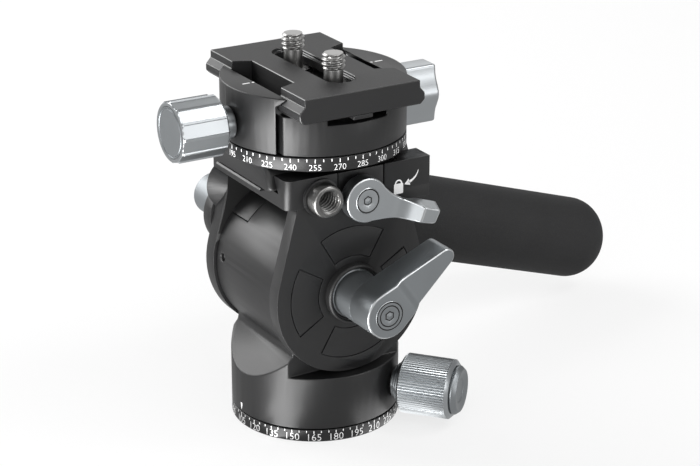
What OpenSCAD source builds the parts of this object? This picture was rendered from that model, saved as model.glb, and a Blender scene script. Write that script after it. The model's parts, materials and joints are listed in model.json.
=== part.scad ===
// Fluid video head with a drum-shaped tilt unit and a panoramic quick-release clamp on top.
// Origin: centre of the base's bottom face. +Z is up, +X runs along the tilt axis towards the
// tilt lock lever, +Y points towards the operator, so the lens looks along -Y. Millimetres.

/* [Base and pan] */
// Outer radius of the base ring and of the pan housing
base_r = 23.6; // [23:0.1:26]
// Height of the fixed scale ring
ring_h = 3.5; // [3:0.1:4.2]
// Radial width of the fixed scale ring
ring_w = 4.2; // [3:0.1:4.6]
// Thickness of the base plate
base_plate_t = 5; // [4.6:0.1:5.6]
// Radius of the tapped tripod hole, 3/8 inch thread
tripod_hole_r = 4; // [3.6:0.1:4.4]
// Outer radius of the tripod bush
tripod_bush_r = 5.6; // [5.2:0.1:6.2]
// Length of the tripod bush
tripod_bush_l = 11; // [8:0.5:13]
// Radius of the pan spindle
spindle_r = 8; // [7.4:0.1:8.8]
// Radius of the pan spindle's flange
spindle_flange_r = 13; // [12.5:0.1:14.5]
// Thickness of the pan spindle's flange
spindle_flange_t = 2.2; // [1.8:0.1:2.6]
// Radius of the threaded stub on top of the pan spindle
spindle_stub_r = 5; // [4:0.1:6]
// Outer radius of the pan spindle's nut
spindle_nut_r = 10; // [9:0.1:10.8]
// Height of the pan spindle's nut
spindle_nut_h = 3; // [2:0.1:4]
// Wall of the pan bush
pan_bush_wall = 2; // [1.5:0.1:2.4]
// Height of the pan bush
pan_bush_h = 4.1; // [3:0.1:4.4]
// Height of the web in the housing that carries the pan bush
pan_web_h = 10.5; // [10:0.1:11.5]
// Radius of the base screws' shanks
base_screw_r = 1.25; // [1:0.05:1.5]
// Radius of the base screws' heads
base_screw_head_r = 2.3; // [2:0.1:2.6]

/* [Housing and drum] */
// Height of the ledge beside the drum
ledge_z = 18.9; // [17:0.1:19.2]
// Half width of the neck and the drum along the tilt axis
drum_half = 16; // [15:0.1:18]
// Height of the tilt axis above the base's bottom face
tilt_z = 42.5; // [42.4:0.1:46]
// Radius of the drum
drum_r = 22.3; // [21:0.1:22.6]
// Height where the sloped flat leaves the housing's round wall
slope_z = 15.9; // [14:0.1:17]
// Slope of the flat above the round wall, in degrees
slope_angle = 49; // [44:1:54]
// Radius of the hollow fillet between the flat and the drum
slope_fillet = 3; // [1:0.1:5]
// Radius of the tilt shaft
tilt_shaft_r = 6; // [5.4:0.1:6.4]
// Wall of the tilt bushes
tilt_bush_wall = 2; // [1.5:0.1:2.5]
// Length of the tilt bushes
tilt_bush_l = 5; // [4:0.1:6]
// Radius of the damper chamber in the drum
damper_r = 14.8; // [13:0.1:16]
// Thickness of the drum's end plate
end_plate_t = 4; // [3:0.1:5]
// Thickness of the wall at the far end of the drum
drum_far_wall = 7; // [6:0.1:8]
// Angle from straight up to each end of the flush drum cover, in degrees
cover_angle = 49.5; // [40:0.5:52]
// Width of the flush drum cover
cover_w = 9; // [7:0.1:10]
// Thickness of the flush drum cover
cover_t = 1.8; // [1.2:0.1:2.4]
// Radius of the filler screw in the drum's front
filler_r = 1.1; // [0.8:0.1:1.6]

/* [Pan lock] */
// Height of the pan lock's axis
pan_lock_z = 11.3; // [10.7:0.1:11.3]
// Direction of the pan lock's axis, in degrees from +X
pan_lock_angle = 40; // [30:1:60]
// Radius of the lock studs and of the brake shoes
stud_r = 2.5; // [2:0.1:2.6]
// Radius of the pan lock knob
pan_knob_r = 8.4; // [8:0.1:9.6]
// Length of the pan lock knob's knurled body
pan_knob_l = 14.1; // [11:0.1:16]
// Radius of the pan lock knob's end boss
pan_boss_r = 6.7; // [5.8:0.1:6.8]
// Length of the pan lock knob's end boss
pan_boss_l = 2.7; // [2:0.1:4]
// Radius of the collars between a knob and what it clamps
collar_r = 4.6; // [4:0.1:5.2]
// Length of the pan lock knob's collar
pan_collar_l = 2.9; // [1.5:0.1:4]

/* [Cradle] */
// Gap between the drum's end faces and the cheeks
cheek_gap = 0.4; // [0.3:0.05:0.8]
// Thickness of a cheek
cheek_t = 4.4; // [4:0.1:5.5]
// Radius of a cheek round the tilt axis
cheek_r = 23.1; // [22.7:0.1:23.3]
// Half width of a cheek at its top
cheek_top_half = 16.7; // [15:0.1:18]
// Height of the platform's underside
platform_z = 69.3; // [68.5:0.1:71]
// Thickness of the platform's floor
floor_t = 3.6; // [3:0.1:4.2]
// Height of the platform's side walls above its floor
wall_h = 4.5; // [4:0.1:5]
// Front end of the platform
platform_front = 20; // [19:0.1:22]
// Rear end of the platform
platform_rear = 24.2; // [23:0.1:27]
// Depth of the lock block's skirt below the platform
skirt_h = 3.3; // [2.5:0.1:3.5]
// Radius of the ear on the far cheek
ear_r = 8; // [7:0.1:9]
// Radius of the screws that hold the cheeks to the platform
cheek_screw_r = 1.2; // [1:0.05:1.4]
// Radius of the heads of the cheek screws
cheek_screw_head_r = 1.9; // [1.7:0.05:2]
// Half width of the dovetail slab at its foot
slab_foot_half = 15.5; // [15:0.1:16]
// Half width of the dovetail slab at its top
slab_top_half = 12.5; // [12:0.1:13.5]
// Outer radius of the dark collar round the lever hub
hub_collar_r = 8.4; // [8:0.1:9]
// Height of the dark collar round the lever hub
hub_collar_h = 2.6; // [2:0.1:3.5]
// Radius of the cap on the far end of the tilt shaft
far_cap_r = 9; // [8:0.1:11]
// Thickness of the cap on the far end of the tilt shaft
far_cap_t = 1.5; // [1:0.1:2]
// Radius of the tapped accessory hole, 1/4 inch thread
accessory_hole_r = 2.6; // [2.5:0.05:3]
// Outer radius of the accessory insert
accessory_r = 4.5; // [4:0.1:4.6]
// How far the accessory insert stands out of the platform
accessory_out = 5; // [3:0.1:6]
// Distance of the accessory insert's axis in front of the tilt axis
accessory_y = 9.9; // [9.8:0.1:12]
// Width of the engraved lines on the near cheek
groove_w = 0.35; // [0.25:0.05:0.6]
// Depth of the engraved lines on the near cheek
groove_d = 0.5; // [0.3:0.1:1]

/* [Tilt lock lever] */
// Radius of the tilt lever's hub
lever_hub_r = 6.6; // [6:0.1:7]
// Length of the tilt lever's hub
lever_hub_l = 19.1; // [16:0.1:22]
// Distance from the tilt lever's hub to its tip
lever_arm_l = 22.4; // [18:0.1:25]
// Radius of the tilt lever's tip
lever_tip_r = 2.4; // [2:0.1:3.2]
// Depth of the tilt lever's arm along the tilt axis
lever_arm_d = 9.6; // [7:0.1:9.8]
// Step from the hub's end face down to the arm
lever_step = 0.7; // [0.3:0.1:1.5]
// Angle of the tilt lever above the horizontal, in degrees
lever_angle = 34; // [20:1:45]
// Radius of the cap screw in the tilt lever
lever_screw_r = 4.2; // [3.5:0.1:4.8]

/* [Release lever] */
// Distance of the release lever's axis behind the tilt axis
release_y = 1.5; // [1.3:0.1:2]
// Distance of the sliding jaw's middle behind the tilt axis
jaw_y = 2.6; // [2.5:0.1:3.2]
// Height of the release lever's axis above the platform's underside
release_up = 0.9; // [0.6:0.1:1.2]
// Radius of the release lever's hub
release_hub_r = 6.2; // [5.5:0.1:6.6]
// Thickness of the release lever's hub
release_hub_t = 4.2; // [3.5:0.1:4.4]
// Length of the release lever's arm
release_arm_l = 21.6; // [18:0.1:24]
// Angle of the release lever below the horizontal, in degrees
release_angle = 20.8; // [15:0.1:30]
// Half width of the sliding jaw
release_jaw_half = 7; // [6.5:0.1:7.2]
// Radius of the release screw's shank
release_screw_r = 2; // [1.6:0.1:2.2]

/* [Turntable] */
// Radius of the upper scale ring, the clamp body and its jaw
disc_r = 25.3; // [25:0.1:27]
// Thickness of the dovetail slab
slab_t = 6.2; // [5.6:0.1:6.6]
// Length of the dovetail slab
slab_l = 44; // [40:0.5:48]
// Height of the upper scale ring
upper_ring_h = 3.8; // [3:0.1:4.5]
// Height of the clamp body from the ring to the plate's seat
clamp_h = 10.7; // [10.6:0.1:12]
// Height of the jaws above the plate's seat
jaw_h = 4.8; // [4.6:0.1:5]
// Gap between the clamp body and its moving jaw
jaw_gap = 1.2; // [0.8:0.1:1.4]
// Height of the clamp knob's axis above the upper scale ring
clamp_axis_up = 5.9; // [5.2:0.1:6.4]
// Height of the turntable lock's axis above the upper scale ring
wing_axis_up = 5; // [4.6:0.1:5.1]
// Radius of the turntable's spindle
turn_spindle_r = 8; // [7.2:0.1:8.6]
// Radius of the cap that holds the clamp body down
turn_cap_r = 11.5; // [10.5:0.1:12]
// Thickness of the cap that holds the clamp body down
turn_cap_t = 1.3; // [1:0.1:1.4]
// Depth of the channel under the quick-release plate
channel_d = 2.2; // [1.8:0.1:2.3]
// Half width of the channel under the quick-release plate
channel_half = 9; // [8:0.1:10]

/* [Clamp knobs] */
// Radius of the fluted clamp knob
clamp_knob_r = 8.65; // [8:0.05:9]
// Length of the fluted clamp knob
clamp_knob_l = 16.4; // [13:0.1:19]
// Length of the clamp knob's collar
clamp_collar_l = 1.6; // [1.2:0.1:3]
// Number of flutes round the clamp knob
flutes = 12; // [8:1:16]
// Depth of the flutes
flute_d = 0.7; // [0.4:0.1:1]
// Radius of the hub of the turntable lock's wing knob
wing_hub_r = 5.7; // [5:0.1:7.8]
// Height across the wings of the turntable lock's knob
wing_h = 16.6; // [15:0.1:18.4]
// Thickness of the wings of the turntable lock's knob
wing_t = 6.8; // [6:0.1:11]
// Length of the turntable lock's knob
wing_l = 11.2; // [8:0.1:13]

/* [Quick-release plate] */
// Length of the plate
plate_l = 53.2; // [50:0.1:58]
// Half width of the plate's top
plate_top_half = 17.4; // [17:0.1:17.6]
// Half width of the plate's dovetail, 38 mm standard
plate_flange_half = 18.9; // [18.6:0.1:19]
// Height of the plate's upright edge above its slope
plate_edge_h = 2; // [1.8:0.1:2.4]
// Height of the plate's dovetail slope
plate_slope_h = 1.7; // [1.6:0.1:1.8]
// Height of the plate's dovetail flange
plate_flange_h = 1.8; // [1.6:0.1:2]
// Height of the chamfer along the plate's foot
plate_foot_h = 1.2; // [0.8:0.1:1.3]
// Length of the notch in each long side
notch_l = 28; // [24:0.5:32]
// Depth of the notch in each long side
notch_d = 5; // [4:0.1:6]
// Length of the camera screw slot, end to end
slot_l = 35; // [33:0.1:38]
// Radius of the camera screw thread, 1/4 inch
camera_thread_r = 3.175; // [3.1:0.005:3.2]
// How far a camera screw stands out of the plate
camera_screw_out = 6.2; // [5:0.1:7]
// Radius of a camera screw's head
camera_head_r = 5.2; // [4.6:0.1:5.3]
// Distance from the plate's middle to each camera screw
camera_screw_x = 11; // [10.8:0.1:11.5]

/* [Handle] */
// Distance of the handle's axis beyond the tilt unit's middle plane
handle_x = 37; // [37:0.1:42]
// Slope of the handle below the horizontal, in degrees
handle_angle = 17.8; // [10:0.1:25]
// Radius of the grip
grip_r = 12.75; // [11:0.05:13]
// Length of the grip
grip_l = 91; // [80:1:110]
// Radius of the grip's rounded end
grip_end_r = 11; // [8:0.1:11]
// Radius of the tube inside the grip
handle_tube_r = 8; // [6:0.1:9]
// Radius of the eye of the handle bracket
eye_r = 10.8; // [9.5:0.1:11.5]
// Thickness of the eye of the handle bracket
eye_t = 4.2; // [3.5:0.1:5]
// Distance of the handle's hinge in front of the tilt axis
eye_y = 10.6; // [9:0.1:12]
// Height of the handle's hinge above the tilt axis
eye_up = 11.2; // [10:0.1:13]
// Length of the bracket's socket
socket_l = 22; // [18:0.5:26]
// Radius of the handle's clamp knob
handle_knob_r = 6.2; // [5.5:0.1:7]
// Length of the handle's clamp knob
handle_knob_l = 15.4; // [12:0.1:18]
// Radius of the handle's clamp screw
handle_screw_r = 3; // [2.5:0.1:3.5]

/* [Fits] */
// Running clearance on a radius
run_gap = 0.05; // [0.02:0.01:0.1]
// Seat clearance on a radius between fixed pieces
seat_gap = 0.02; // [0.01:0.01:0.05]
// Gap between pieces that move past each other
part_gap = 0.3; // [0.2:0.05:0.4]

/* [Hidden] */
$fn = 64;
// Colours of the finishes
BLACK = [0.16, 0.16, 0.17];
DARK = [0.1, 0.1, 0.11];
SILVER = [0.62, 0.65, 0.67];
STEEL = [0.7, 0.7, 0.7];
BRONZE = [0.66, 0.5, 0.26];
RUBBER = [0.13, 0.13, 0.13];
// Overshoot that lets a cut pass clean through a face
eps = 0.5;

// Base and pan heights
housing_z = ring_h + part_gap;
base_plate_r = base_r - ring_w - seat_gap;
flange_z = base_plate_t + spindle_flange_t;
web_z = flange_z + part_gap;
web_top = web_z + pan_web_h;
nut_z = web_top + part_gap;
chamber_r = base_plate_r + part_gap;
pan_bush_r = spindle_r + run_gap + pan_bush_wall;
nut_room_r = spindle_nut_r + 1;
base_screw_ring = (tripod_bush_r + spindle_flange_r) / 2;
base_screw_count = 3;
shoe_start = spindle_r + part_gap;
shoe_l = 8;
stud_start = shoe_start + shoe_l + part_gap;
pan_knob_start = base_r + part_gap + pan_collar_l;
pan_knob_end = pan_knob_start + pan_knob_l;

// Drum
tilt_bush_r = tilt_shaft_r + run_gap + tilt_bush_wall;
damper_near = drum_half - end_plate_t;
damper_far = drum_far_wall - drum_half;
filler_in = 3.4;
filler_x = filler_in - drum_half;
filler_z = 2.9;
filler_l = 4;
fillet_bite = 0.08;

// Cradle
cheek_in = drum_half + cheek_gap;
cheek_out = cheek_in + cheek_t;
platform_half = cheek_out + 0.2;
floor_z = platform_z + floor_t;
wall_z = floor_z + wall_h;
slab_z = floor_z + part_gap;
slab_top = slab_z + slab_t;
slab_lip = 0.8;
slab_slope = (slab_foot_half - slab_top_half) / (slab_t - slab_lip);
release_z = platform_z + release_up;
jaw_slot_half = release_jaw_half + part_gap;
release_boss_r = 4;
release_travel = 0.8;
release_hub_x = platform_half + 1.2;
release_boss_l = release_hub_x - cheek_out - part_gap;
release_block = [8, 10, skirt_h];
accessory_up = 2.4;
accessory_z = platform_z + accessory_up;
accessory_l = 10;
accessory_wall = 0.7;
accessory_rim = 1;
accessory_end = platform_half + accessory_out;
collar_in_r = lever_hub_r + 0.6;
lever_start = cheek_out + part_gap;
lever_end = lever_start + lever_hub_l;
lever_root = 0.4;
groove_in = 10.3;
groove_out = 19.1;
groove_span = 64;
groove_count = 4;
ear_place = [-14.4, 21.2];
ear_in_r = 3.6;
cheek_screw_x = (cheek_in + cheek_out) / 2;
cheek_screw_head_h = 2;
cheek_screw_grip = 6;
cheek_screw_sink = 0.2;
cheek_screw_near_y = (jaw_y + jaw_slot_half + cheek_top_half) / 2;
cheek_screw_far_y = 12;

// Turntable
upper_ring_z = slab_top;
upper_ring_top = upper_ring_z + upper_ring_h;
clamp_z = upper_ring_top + part_gap;
seat_z = clamp_z + clamp_h;
jaw_top = seat_z + jaw_h;
clamp_axis_z = upper_ring_top + clamp_axis_up;
wing_axis_z = upper_ring_top + wing_axis_up;
plate_z = seat_z + 0.25;
turn_cap_z = wing_axis_z + stud_r + part_gap;
turn_bush_wall = 2;
turn_bush_r = turn_spindle_r + run_gap + turn_bush_wall;
turn_bush_h = wing_axis_z - stud_r - part_gap - clamp_z;
jaw_face = plate_flange_half + 1;
body_face = jaw_face - jaw_gap;
turn_shoe_start = turn_spindle_r + part_gap;
turn_stud_start = turn_shoe_start + shoe_l + part_gap;
wing_start = disc_r + 0.7;
clamp_knob_start = disc_r + part_gap + clamp_collar_l;
clamp_knob_end = clamp_knob_start + clamp_knob_l;
guide_pin_r = 2;
guide_pin_x = 9;
guide_pin_in = 11;
guide_pin_out = 22;
clamp_stud_in = 12.5;
cap_t = 1.2;
cap_margin = 1.6;
slab_screw_r = 1.5;
slab_screw_head_r = 2.8;
slab_screw_head_h = 2.2;
slab_screw_cover = 1;

// Plate
flange_low = plate_z + plate_foot_h;
flange_high = flange_low + plate_flange_h;
slope_high = flange_high + plate_slope_h;
plate_top = slope_high + plate_edge_h;
foot_in = 1.3;
slot_r = camera_thread_r + 0.15;
head_room_r = camera_head_r + 0.4;
head_z = plate_z + 0.55;
head_h = 2.2;
washer_h = 0.4;
washer_z = head_z + head_h + 0.2;
washer_r = camera_head_r - 0.2;
head_room_top = washer_z + washer_h + 0.2;
screw_neck_r = 2.6;
recess_d = 0.8;
recess_half = 4.3;
thread_z = plate_top + 0.4;
slope_run = plate_flange_half - plate_top_half;
stop_half = 2.9;
stop_h = 1.1;
stop_l = 3;

// Handle
eye_out = cheek_out + part_gap + eye_t;
eye_z = tilt_z + eye_up;
handle_knob_start = eye_out + part_gap;
handle_up = 14;
handle_origin = [-handle_x, -eye_y, tilt_z + handle_up];
arm_half = 7;
arm_inset = 0.2;
link_half = 6.4;
arm_end = 24;
link_start = 14;
link_end = 40;
link_lap = 0.9;
link_x = eye_out - link_lap;
socket_start = 28;
socket_wall = 2.2;
socket_r = handle_tube_r + socket_wall;
grip_start = socket_start + socket_l;
tube_start = socket_start + 2;
grip_end = grip_start + grip_l;
tube_end = grip_end - grip_end_r;

// Ring or disc standing on z0
module ring_z(ro, ri, z0, h) {
    translate([0, 0, z0]) difference() {
        cylinder(r = ro, h = h);
        if (ri > 0) translate([0, 0, -eps]) cylinder(r = ri, h = h + 2 * eps);
    }
}

// Rod along +X from x0 to x1
module rod_x(r, x0, x1) {
    translate([x0, 0, 0]) rotate([0, 90, 0]) cylinder(r = r, h = x1 - x0);
}

// Rod along +Y from y0 to y1
module rod_y(r, y0, y1) {
    translate([0, y0, 0]) rotate([-90, 0, 0]) cylinder(r = r, h = y1 - y0);
}

// Ring along +X
module ring_x(ro, ri, x0, x1) {
    difference() {
        rod_x(ro, x0, x1);
        rod_x(ri, x0 - eps, x1 + eps);
    }
}

// Flat outline in the YZ plane, thickened from x0 to x1
module slice_x(x0, x1) {
    translate([x0, 0, 0]) rotate([90, 0, 90]) linear_extrude(x1 - x0) children();
}

// Flat outline in the XZ plane, thickened from y0 to y1
module slice_y(y0, y1) {
    translate([0, y1, 0]) rotate([90, 0, 0]) linear_extrude(y1 - y0) children();
}

// Turned profile about the X axis, given as points of [x, radius]
module turned_x(points) {
    rotate([0, 90, 0]) rotate_extrude() polygon([for (p = points) [p[1], p[0]]]);
}

// Flat link of two rounded ends with straight tangent flanks
module tapered_link(r0, r1, l) {
    lean = asin((r0 - r1) / l);
    flank = [sin(lean), cos(lean)];
    circle(r = r0);
    translate([l, 0]) circle(r = r1);
    polygon([
        r0 * flank, [l, 0] + r1 * flank,
        [l + r1 * flank[0], -r1 * flank[1]], [r0 * flank[0], -r0 * flank[1]]
    ]);
}

// Flat sector of a ring, centred on the angle mid
module ring_sector(ro, ri, mid, span) {
    reach = ro / cos(span / 2) + 1;
    intersection() {
        difference() {
            circle(r = ro);
            circle(r = ri);
        }
        polygon([
            [0, 0], reach * [cos(mid - span / 2), sin(mid - span / 2)],
            reach * [cos(mid), sin(mid)] * 1.2, reach * [cos(mid + span / 2), sin(mid + span / 2)]
        ]);
    }
}

// Flat slot with round ends along X
module slot_outline(l, r) {
    square([l - 2 * r, 2 * r], center = true);
    for (side = [-1, 1]) translate([side * (l / 2 - r), 0]) circle(r = r);
}

// Moves children onto the tilt axis
module at_tilt() {
    translate([0, 0, tilt_z]) children();
}

// Moves children, built along +X, onto the pan lock's axis
module at_pan_lock() {
    translate([0, 0, pan_lock_z]) rotate([0, 0, pan_lock_angle]) children();
}

// Moves children onto the clamp knob's axis
module at_clamp_axis() {
    translate([0, 0, clamp_axis_z]) children();
}

// Moves children onto the turntable lock's axis
module at_wing_axis() {
    translate([0, 0, wing_axis_z]) children();
}

// Moves children, built along +Y, onto the handle's axis
module at_handle() {
    translate(handle_origin) rotate([-handle_angle, 0, 0]) children();
}

// Moves children onto the handle's hinge
module at_eye() {
    translate([0, -eye_y, eye_z]) children();
}

// Moves children onto the accessory insert's axis
module at_accessory() {
    translate([0, -accessory_y, accessory_z]) children();
}

// Moves children onto the release lever's axis
module at_release() {
    translate([0, release_y, release_z]) children();
}

// Places of the screws between the base plate and the spindle
module base_screw_places() {
    for (i = [0 : base_screw_count - 1])
        rotate([0, 0, 360 * (i + 0.5) / base_screw_count]) translate([base_screw_ring, 0, 0]) children();
}

// Countersunk base screw, head down
module base_screw(extra) {
    head_h = base_screw_head_r - base_screw_r;
    cylinder(r = base_screw_r + extra, h = flange_z - part_gap);
    cylinder(r1 = base_screw_head_r + extra, r2 = base_screw_r + extra, h = head_h);
}

module base_plate() {
    color(BLACK) difference() {
        ring_z(base_plate_r, tripod_bush_r + seat_gap, 0, base_plate_t);
        base_screw_places() base_screw(seat_gap);
    }
}

module lower_scale_ring() {
    color(BLACK) ring_z(base_r, base_r - ring_w, 0, ring_h);
}

module tripod_bush() {
    color(STEEL) ring_z(tripod_bush_r, tripod_hole_r, 0, tripod_bush_l);
}

module pan_spindle() {
    color(STEEL) difference() {
        union() {
            ring_z(spindle_flange_r, 0, base_plate_t, spindle_flange_t);
            ring_z(spindle_r, 0, base_plate_t, nut_z - base_plate_t);
            ring_z(spindle_stub_r, 0, base_plate_t, nut_z + spindle_nut_h - base_plate_t);
        }
        ring_z(tripod_bush_r + seat_gap, 0, 0, tripod_bush_l + part_gap);
        base_screw_places() base_screw(seat_gap);
    }
}

module base_screws() {
    color(STEEL) base_screw_places() base_screw(0);
}

module spindle_nut() {
    color(STEEL) ring_z(spindle_nut_r, spindle_stub_r + seat_gap, nut_z, spindle_nut_h);
}

// Outline of the hollow fillet between the sloped flat and the drum, in the YZ plane at the front
module slope_fillet_outline() {
    along = [cos(slope_angle), sin(slope_angle)];
    out = [-sin(slope_angle), cos(slope_angle)];
    foot = [-base_r, slope_z - tilt_z];
    start = foot + slope_fillet * out;
    dot = start * along;
    reach = drum_r + slope_fillet;
    step = -dot - sqrt(dot * dot - start * start + reach * reach);
    centre = start + step * along;
    on_flat = centre - slope_fillet * out;
    on_drum = centre * drum_r / reach;
    difference() {
        polygon([on_flat, centre, on_drum, [0, 0], on_flat + slope_fillet * along * 2]);
        translate(centre) circle(r = slope_fillet + fillet_bite);
    }
}

// Half space above the sloped flat at the front
module slope_cut() {
    translate([0, -base_r, slope_z]) rotate([slope_angle, 0, 0])
        translate([-2 * base_r, -2 * base_r, 0]) cube(4 * base_r);
}

module pan_housing() {
    color(BLACK) difference() {
        union() {
            difference() {
                ring_z(base_r, 0, housing_z, tilt_z - housing_z);
                for (side = [0, 1]) {
                    mirror([side, 0, 0]) translate([drum_half, -2 * base_r, ledge_z]) cube(4 * base_r);
                    mirror([0, side, 0]) slope_cut();
                }
            }
            at_tilt() rod_x(drum_r, -drum_half, drum_half);
            for (side = [0, 1]) mirror([0, side, 0])
                at_tilt() slice_x(-drum_half, drum_half) slope_fillet_outline();
        }
        ring_z(chamber_r, 0, 0, web_z);
        ring_z(spindle_r + 2 * part_gap, 0, 0, web_top + eps);
        ring_z(pan_bush_r + seat_gap, 0, web_top - pan_bush_h, pan_bush_h + eps);
        ring_z(nut_room_r, 0, web_top, tilt_z - web_top);
        at_tilt() {
            rod_x(damper_r, damper_far, drum_half + eps);
            rod_x(tilt_bush_r + seat_gap, -drum_half - eps, tilt_bush_l - drum_half);
            rod_x(tilt_shaft_r + part_gap, -drum_half - eps, drum_half);
            translate([filler_x, 0, filler_z]) rod_y(filler_r + seat_gap, -drum_r - eps, -drum_r + filler_l);
            slice_x(-drum_half - eps, cover_w - drum_half + run_gap)
                ring_sector(drum_r + eps, drum_r - cover_t - run_gap, 90, 2 * cover_angle + 0.4);
        }
        at_pan_lock() rod_x(stud_r + 2 * run_gap, 0, base_r + eps);
    }
}

module pan_bush() {
    color(BRONZE) ring_z(pan_bush_r, spindle_r + run_gap, web_top - pan_bush_h, pan_bush_h);
}

module pan_damper() {
    color(DARK) ring_z(chamber_r - seat_gap, spindle_flange_r + part_gap, base_plate_t + part_gap,
                       spindle_flange_t);
}

module drum_end_plate() {
    color(BLACK) at_tilt() ring_x(damper_r - seat_gap, tilt_bush_r + seat_gap, damper_near, drum_half);
}

module tilt_damper() {
    color(DARK) at_tilt() ring_x(damper_r - seat_gap, tilt_shaft_r + part_gap,
                                 damper_far + seat_gap, damper_near - tilt_bush_l + end_plate_t - seat_gap);
}

module tilt_bush_near() {
    color(BRONZE) at_tilt() ring_x(tilt_bush_r, tilt_shaft_r + run_gap, drum_half - tilt_bush_l, drum_half);
}

module tilt_bush_far() {
    color(BRONZE) at_tilt() ring_x(tilt_bush_r, tilt_shaft_r + run_gap, -drum_half, tilt_bush_l - drum_half);
}

module drum_cover() {
    color(BLACK) at_tilt() slice_x(-drum_half, cover_w - drum_half)
        ring_sector(drum_r, drum_r - cover_t, 90, 2 * cover_angle);
}

module filler_screw() {
    color(DARK) at_tilt() translate([filler_x, 0, filler_z]) rod_y(filler_r, 1 - drum_r, filler_l - drum_r);
}

module pan_brake_shoe() {
    color(BRONZE) at_pan_lock() rod_x(stud_r, shoe_start, shoe_start + shoe_l);
}

module pan_lock_stud() {
    color(STEEL) at_pan_lock() rod_x(stud_r, stud_start, pan_knob_end);
}

module pan_lock_knob() {
    chamfer = 1.2;
    collar_step = pan_collar_l / 2;
    start = base_r + part_gap;
    color(SILVER) at_pan_lock() difference() {
        turned_x([
            [start, 0], [start, collar_r - 0.6], [start + collar_step, collar_r - 0.6],
            [start + collar_step, collar_r], [pan_knob_start, collar_r],
            [pan_knob_start, pan_knob_r - chamfer], [pan_knob_start + chamfer, pan_knob_r],
            [pan_knob_end - chamfer, pan_knob_r], [pan_knob_end, pan_knob_r - chamfer], [pan_knob_end, 0]
        ]);
        rod_x(stud_r + seat_gap, 0, pan_knob_end + eps);
    }
}

module pan_lock_cap() {
    chamfer = 0.8;
    dish = 0.6;
    end = pan_knob_end + pan_boss_l;
    color(SILVER) at_pan_lock() turned_x([
        [pan_knob_end, 0], [pan_knob_end, pan_boss_r], [end - chamfer, pan_boss_r],
        [end, pan_boss_r - chamfer], [end, pan_boss_r - 2 * chamfer],
        [end - dish, pan_boss_r - 2 * chamfer - dish], [end - dish, 0]
    ]);
}

// Outline of a cheek in the YZ plane, round the tilt axis
module cheek_outline() {
    top = platform_z - tilt_z;
    far = norm([cheek_top_half, top]);
    lean = atan2(top, cheek_top_half) - acos(cheek_r / far);
    touch = cheek_r * [cos(lean), sin(lean)];
    circle(r = cheek_r, $fn = 128);
    polygon([
        [-touch[0], touch[1]], [0, 0], touch, [cheek_top_half, top], [-cheek_top_half, top]
    ]);
}

// Half width of the dovetail groove at the height z
function groove_half(z) = slab_foot_half + slab_slope * (slab_z + slab_lip - z) + 1.2 * part_gap;

// Side wall of the platform with its inner dovetail slope, between two places along Y
module platform_wall(y0, y1) {
    slice_y(y0, y1) polygon([
        [groove_half(floor_z), floor_z - eps], [platform_half, floor_z - eps], [platform_half, wall_z],
        [groove_half(wall_z), wall_z], [groove_half(floor_z), floor_z]
    ]);
}

// Places of the screws between the platform and the cheeks
module cheek_screw_places() {
    for (place = [
        [cheek_screw_x, cheek_screw_near_y], [-cheek_screw_x, cheek_screw_far_y],
        [-cheek_screw_x, -cheek_screw_far_y]
    ]) translate(place) children();
}

// Cheek screw, head up, with a margin for its hole and the height of its head over the wall's top
module cheek_screw(extra, rise) {
    head_z = wall_z - cheek_screw_head_h - extra;
    tip_z = platform_z - cheek_screw_grip - extra;
    translate([0, 0, tip_z]) cylinder(r = cheek_screw_r + extra, h = head_z - tip_z + eps);
    translate([0, 0, head_z]) cylinder(r = cheek_screw_head_r + extra, h = wall_z + rise - head_z);
}

// Holes for the screws and the insert that the cradle's pieces share
module cradle_holes() {
    at_release() rod_x(release_screw_r + run_gap, cheek_in - release_block[0] + 1, platform_half);
    at_accessory() rod_x(accessory_r + seat_gap, accessory_end - accessory_l, accessory_end);
    cheek_screw_places() cheek_screw(seat_gap, eps);
}

module cradle_platform() {
    block_x = cheek_in - seat_gap - release_block[0];
    block_y = release_y - release_block[1] / 2;
    root_l = slab_top_half - part_gap - block_x;
    color(BLACK) difference() {
        union() {
            difference() {
                union() {
                    translate([-platform_half, -platform_front, platform_z])
                        cube([2 * platform_half, platform_front + platform_rear, floor_t]);
                    for (side = [0, 1]) mirror([side, 0, 0]) platform_wall(-platform_front, platform_rear);
                }
                translate([slab_top_half, jaw_y - jaw_slot_half, platform_z - eps])
                    cube([platform_half, 2 * jaw_slot_half, floor_t + wall_h + 2 * eps]);
            }
            translate([block_x, block_y, platform_z - skirt_h]) {
                cube(release_block - [0, 0, run_gap]);
                cube([root_l, release_block[1], skirt_h + eps]);
            }
            at_accessory()
                rod_x(accessory_r + accessory_wall, cheek_out + seat_gap, platform_half + accessory_rim);
        }
        cradle_holes();
    }
}

module near_cheek() {
    skirt_y = jaw_y + jaw_slot_half;
    color(BLACK) difference() {
        union() {
            at_tilt() slice_x(cheek_in, cheek_out) cheek_outline();
            translate([cheek_in, skirt_y, platform_z - skirt_h])
                cube([cheek_t, platform_rear - skirt_y, skirt_h]);
        }
        cradle_holes();
        at_tilt() {
            rod_x(tilt_shaft_r + seat_gap, 0, cheek_out + eps);
            slice_x(cheek_out - groove_d, cheek_out + eps) for (i = [0 : groove_count - 1]) difference() {
                ring_sector(groove_out, groove_in, 360 * i / groove_count, groove_span);
                ring_sector(groove_out - groove_w, groove_in + groove_w, 360 * i / groove_count,
                            groove_span - 360 * groove_w / (PI * groove_in));
            }
        }
    }
}

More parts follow.
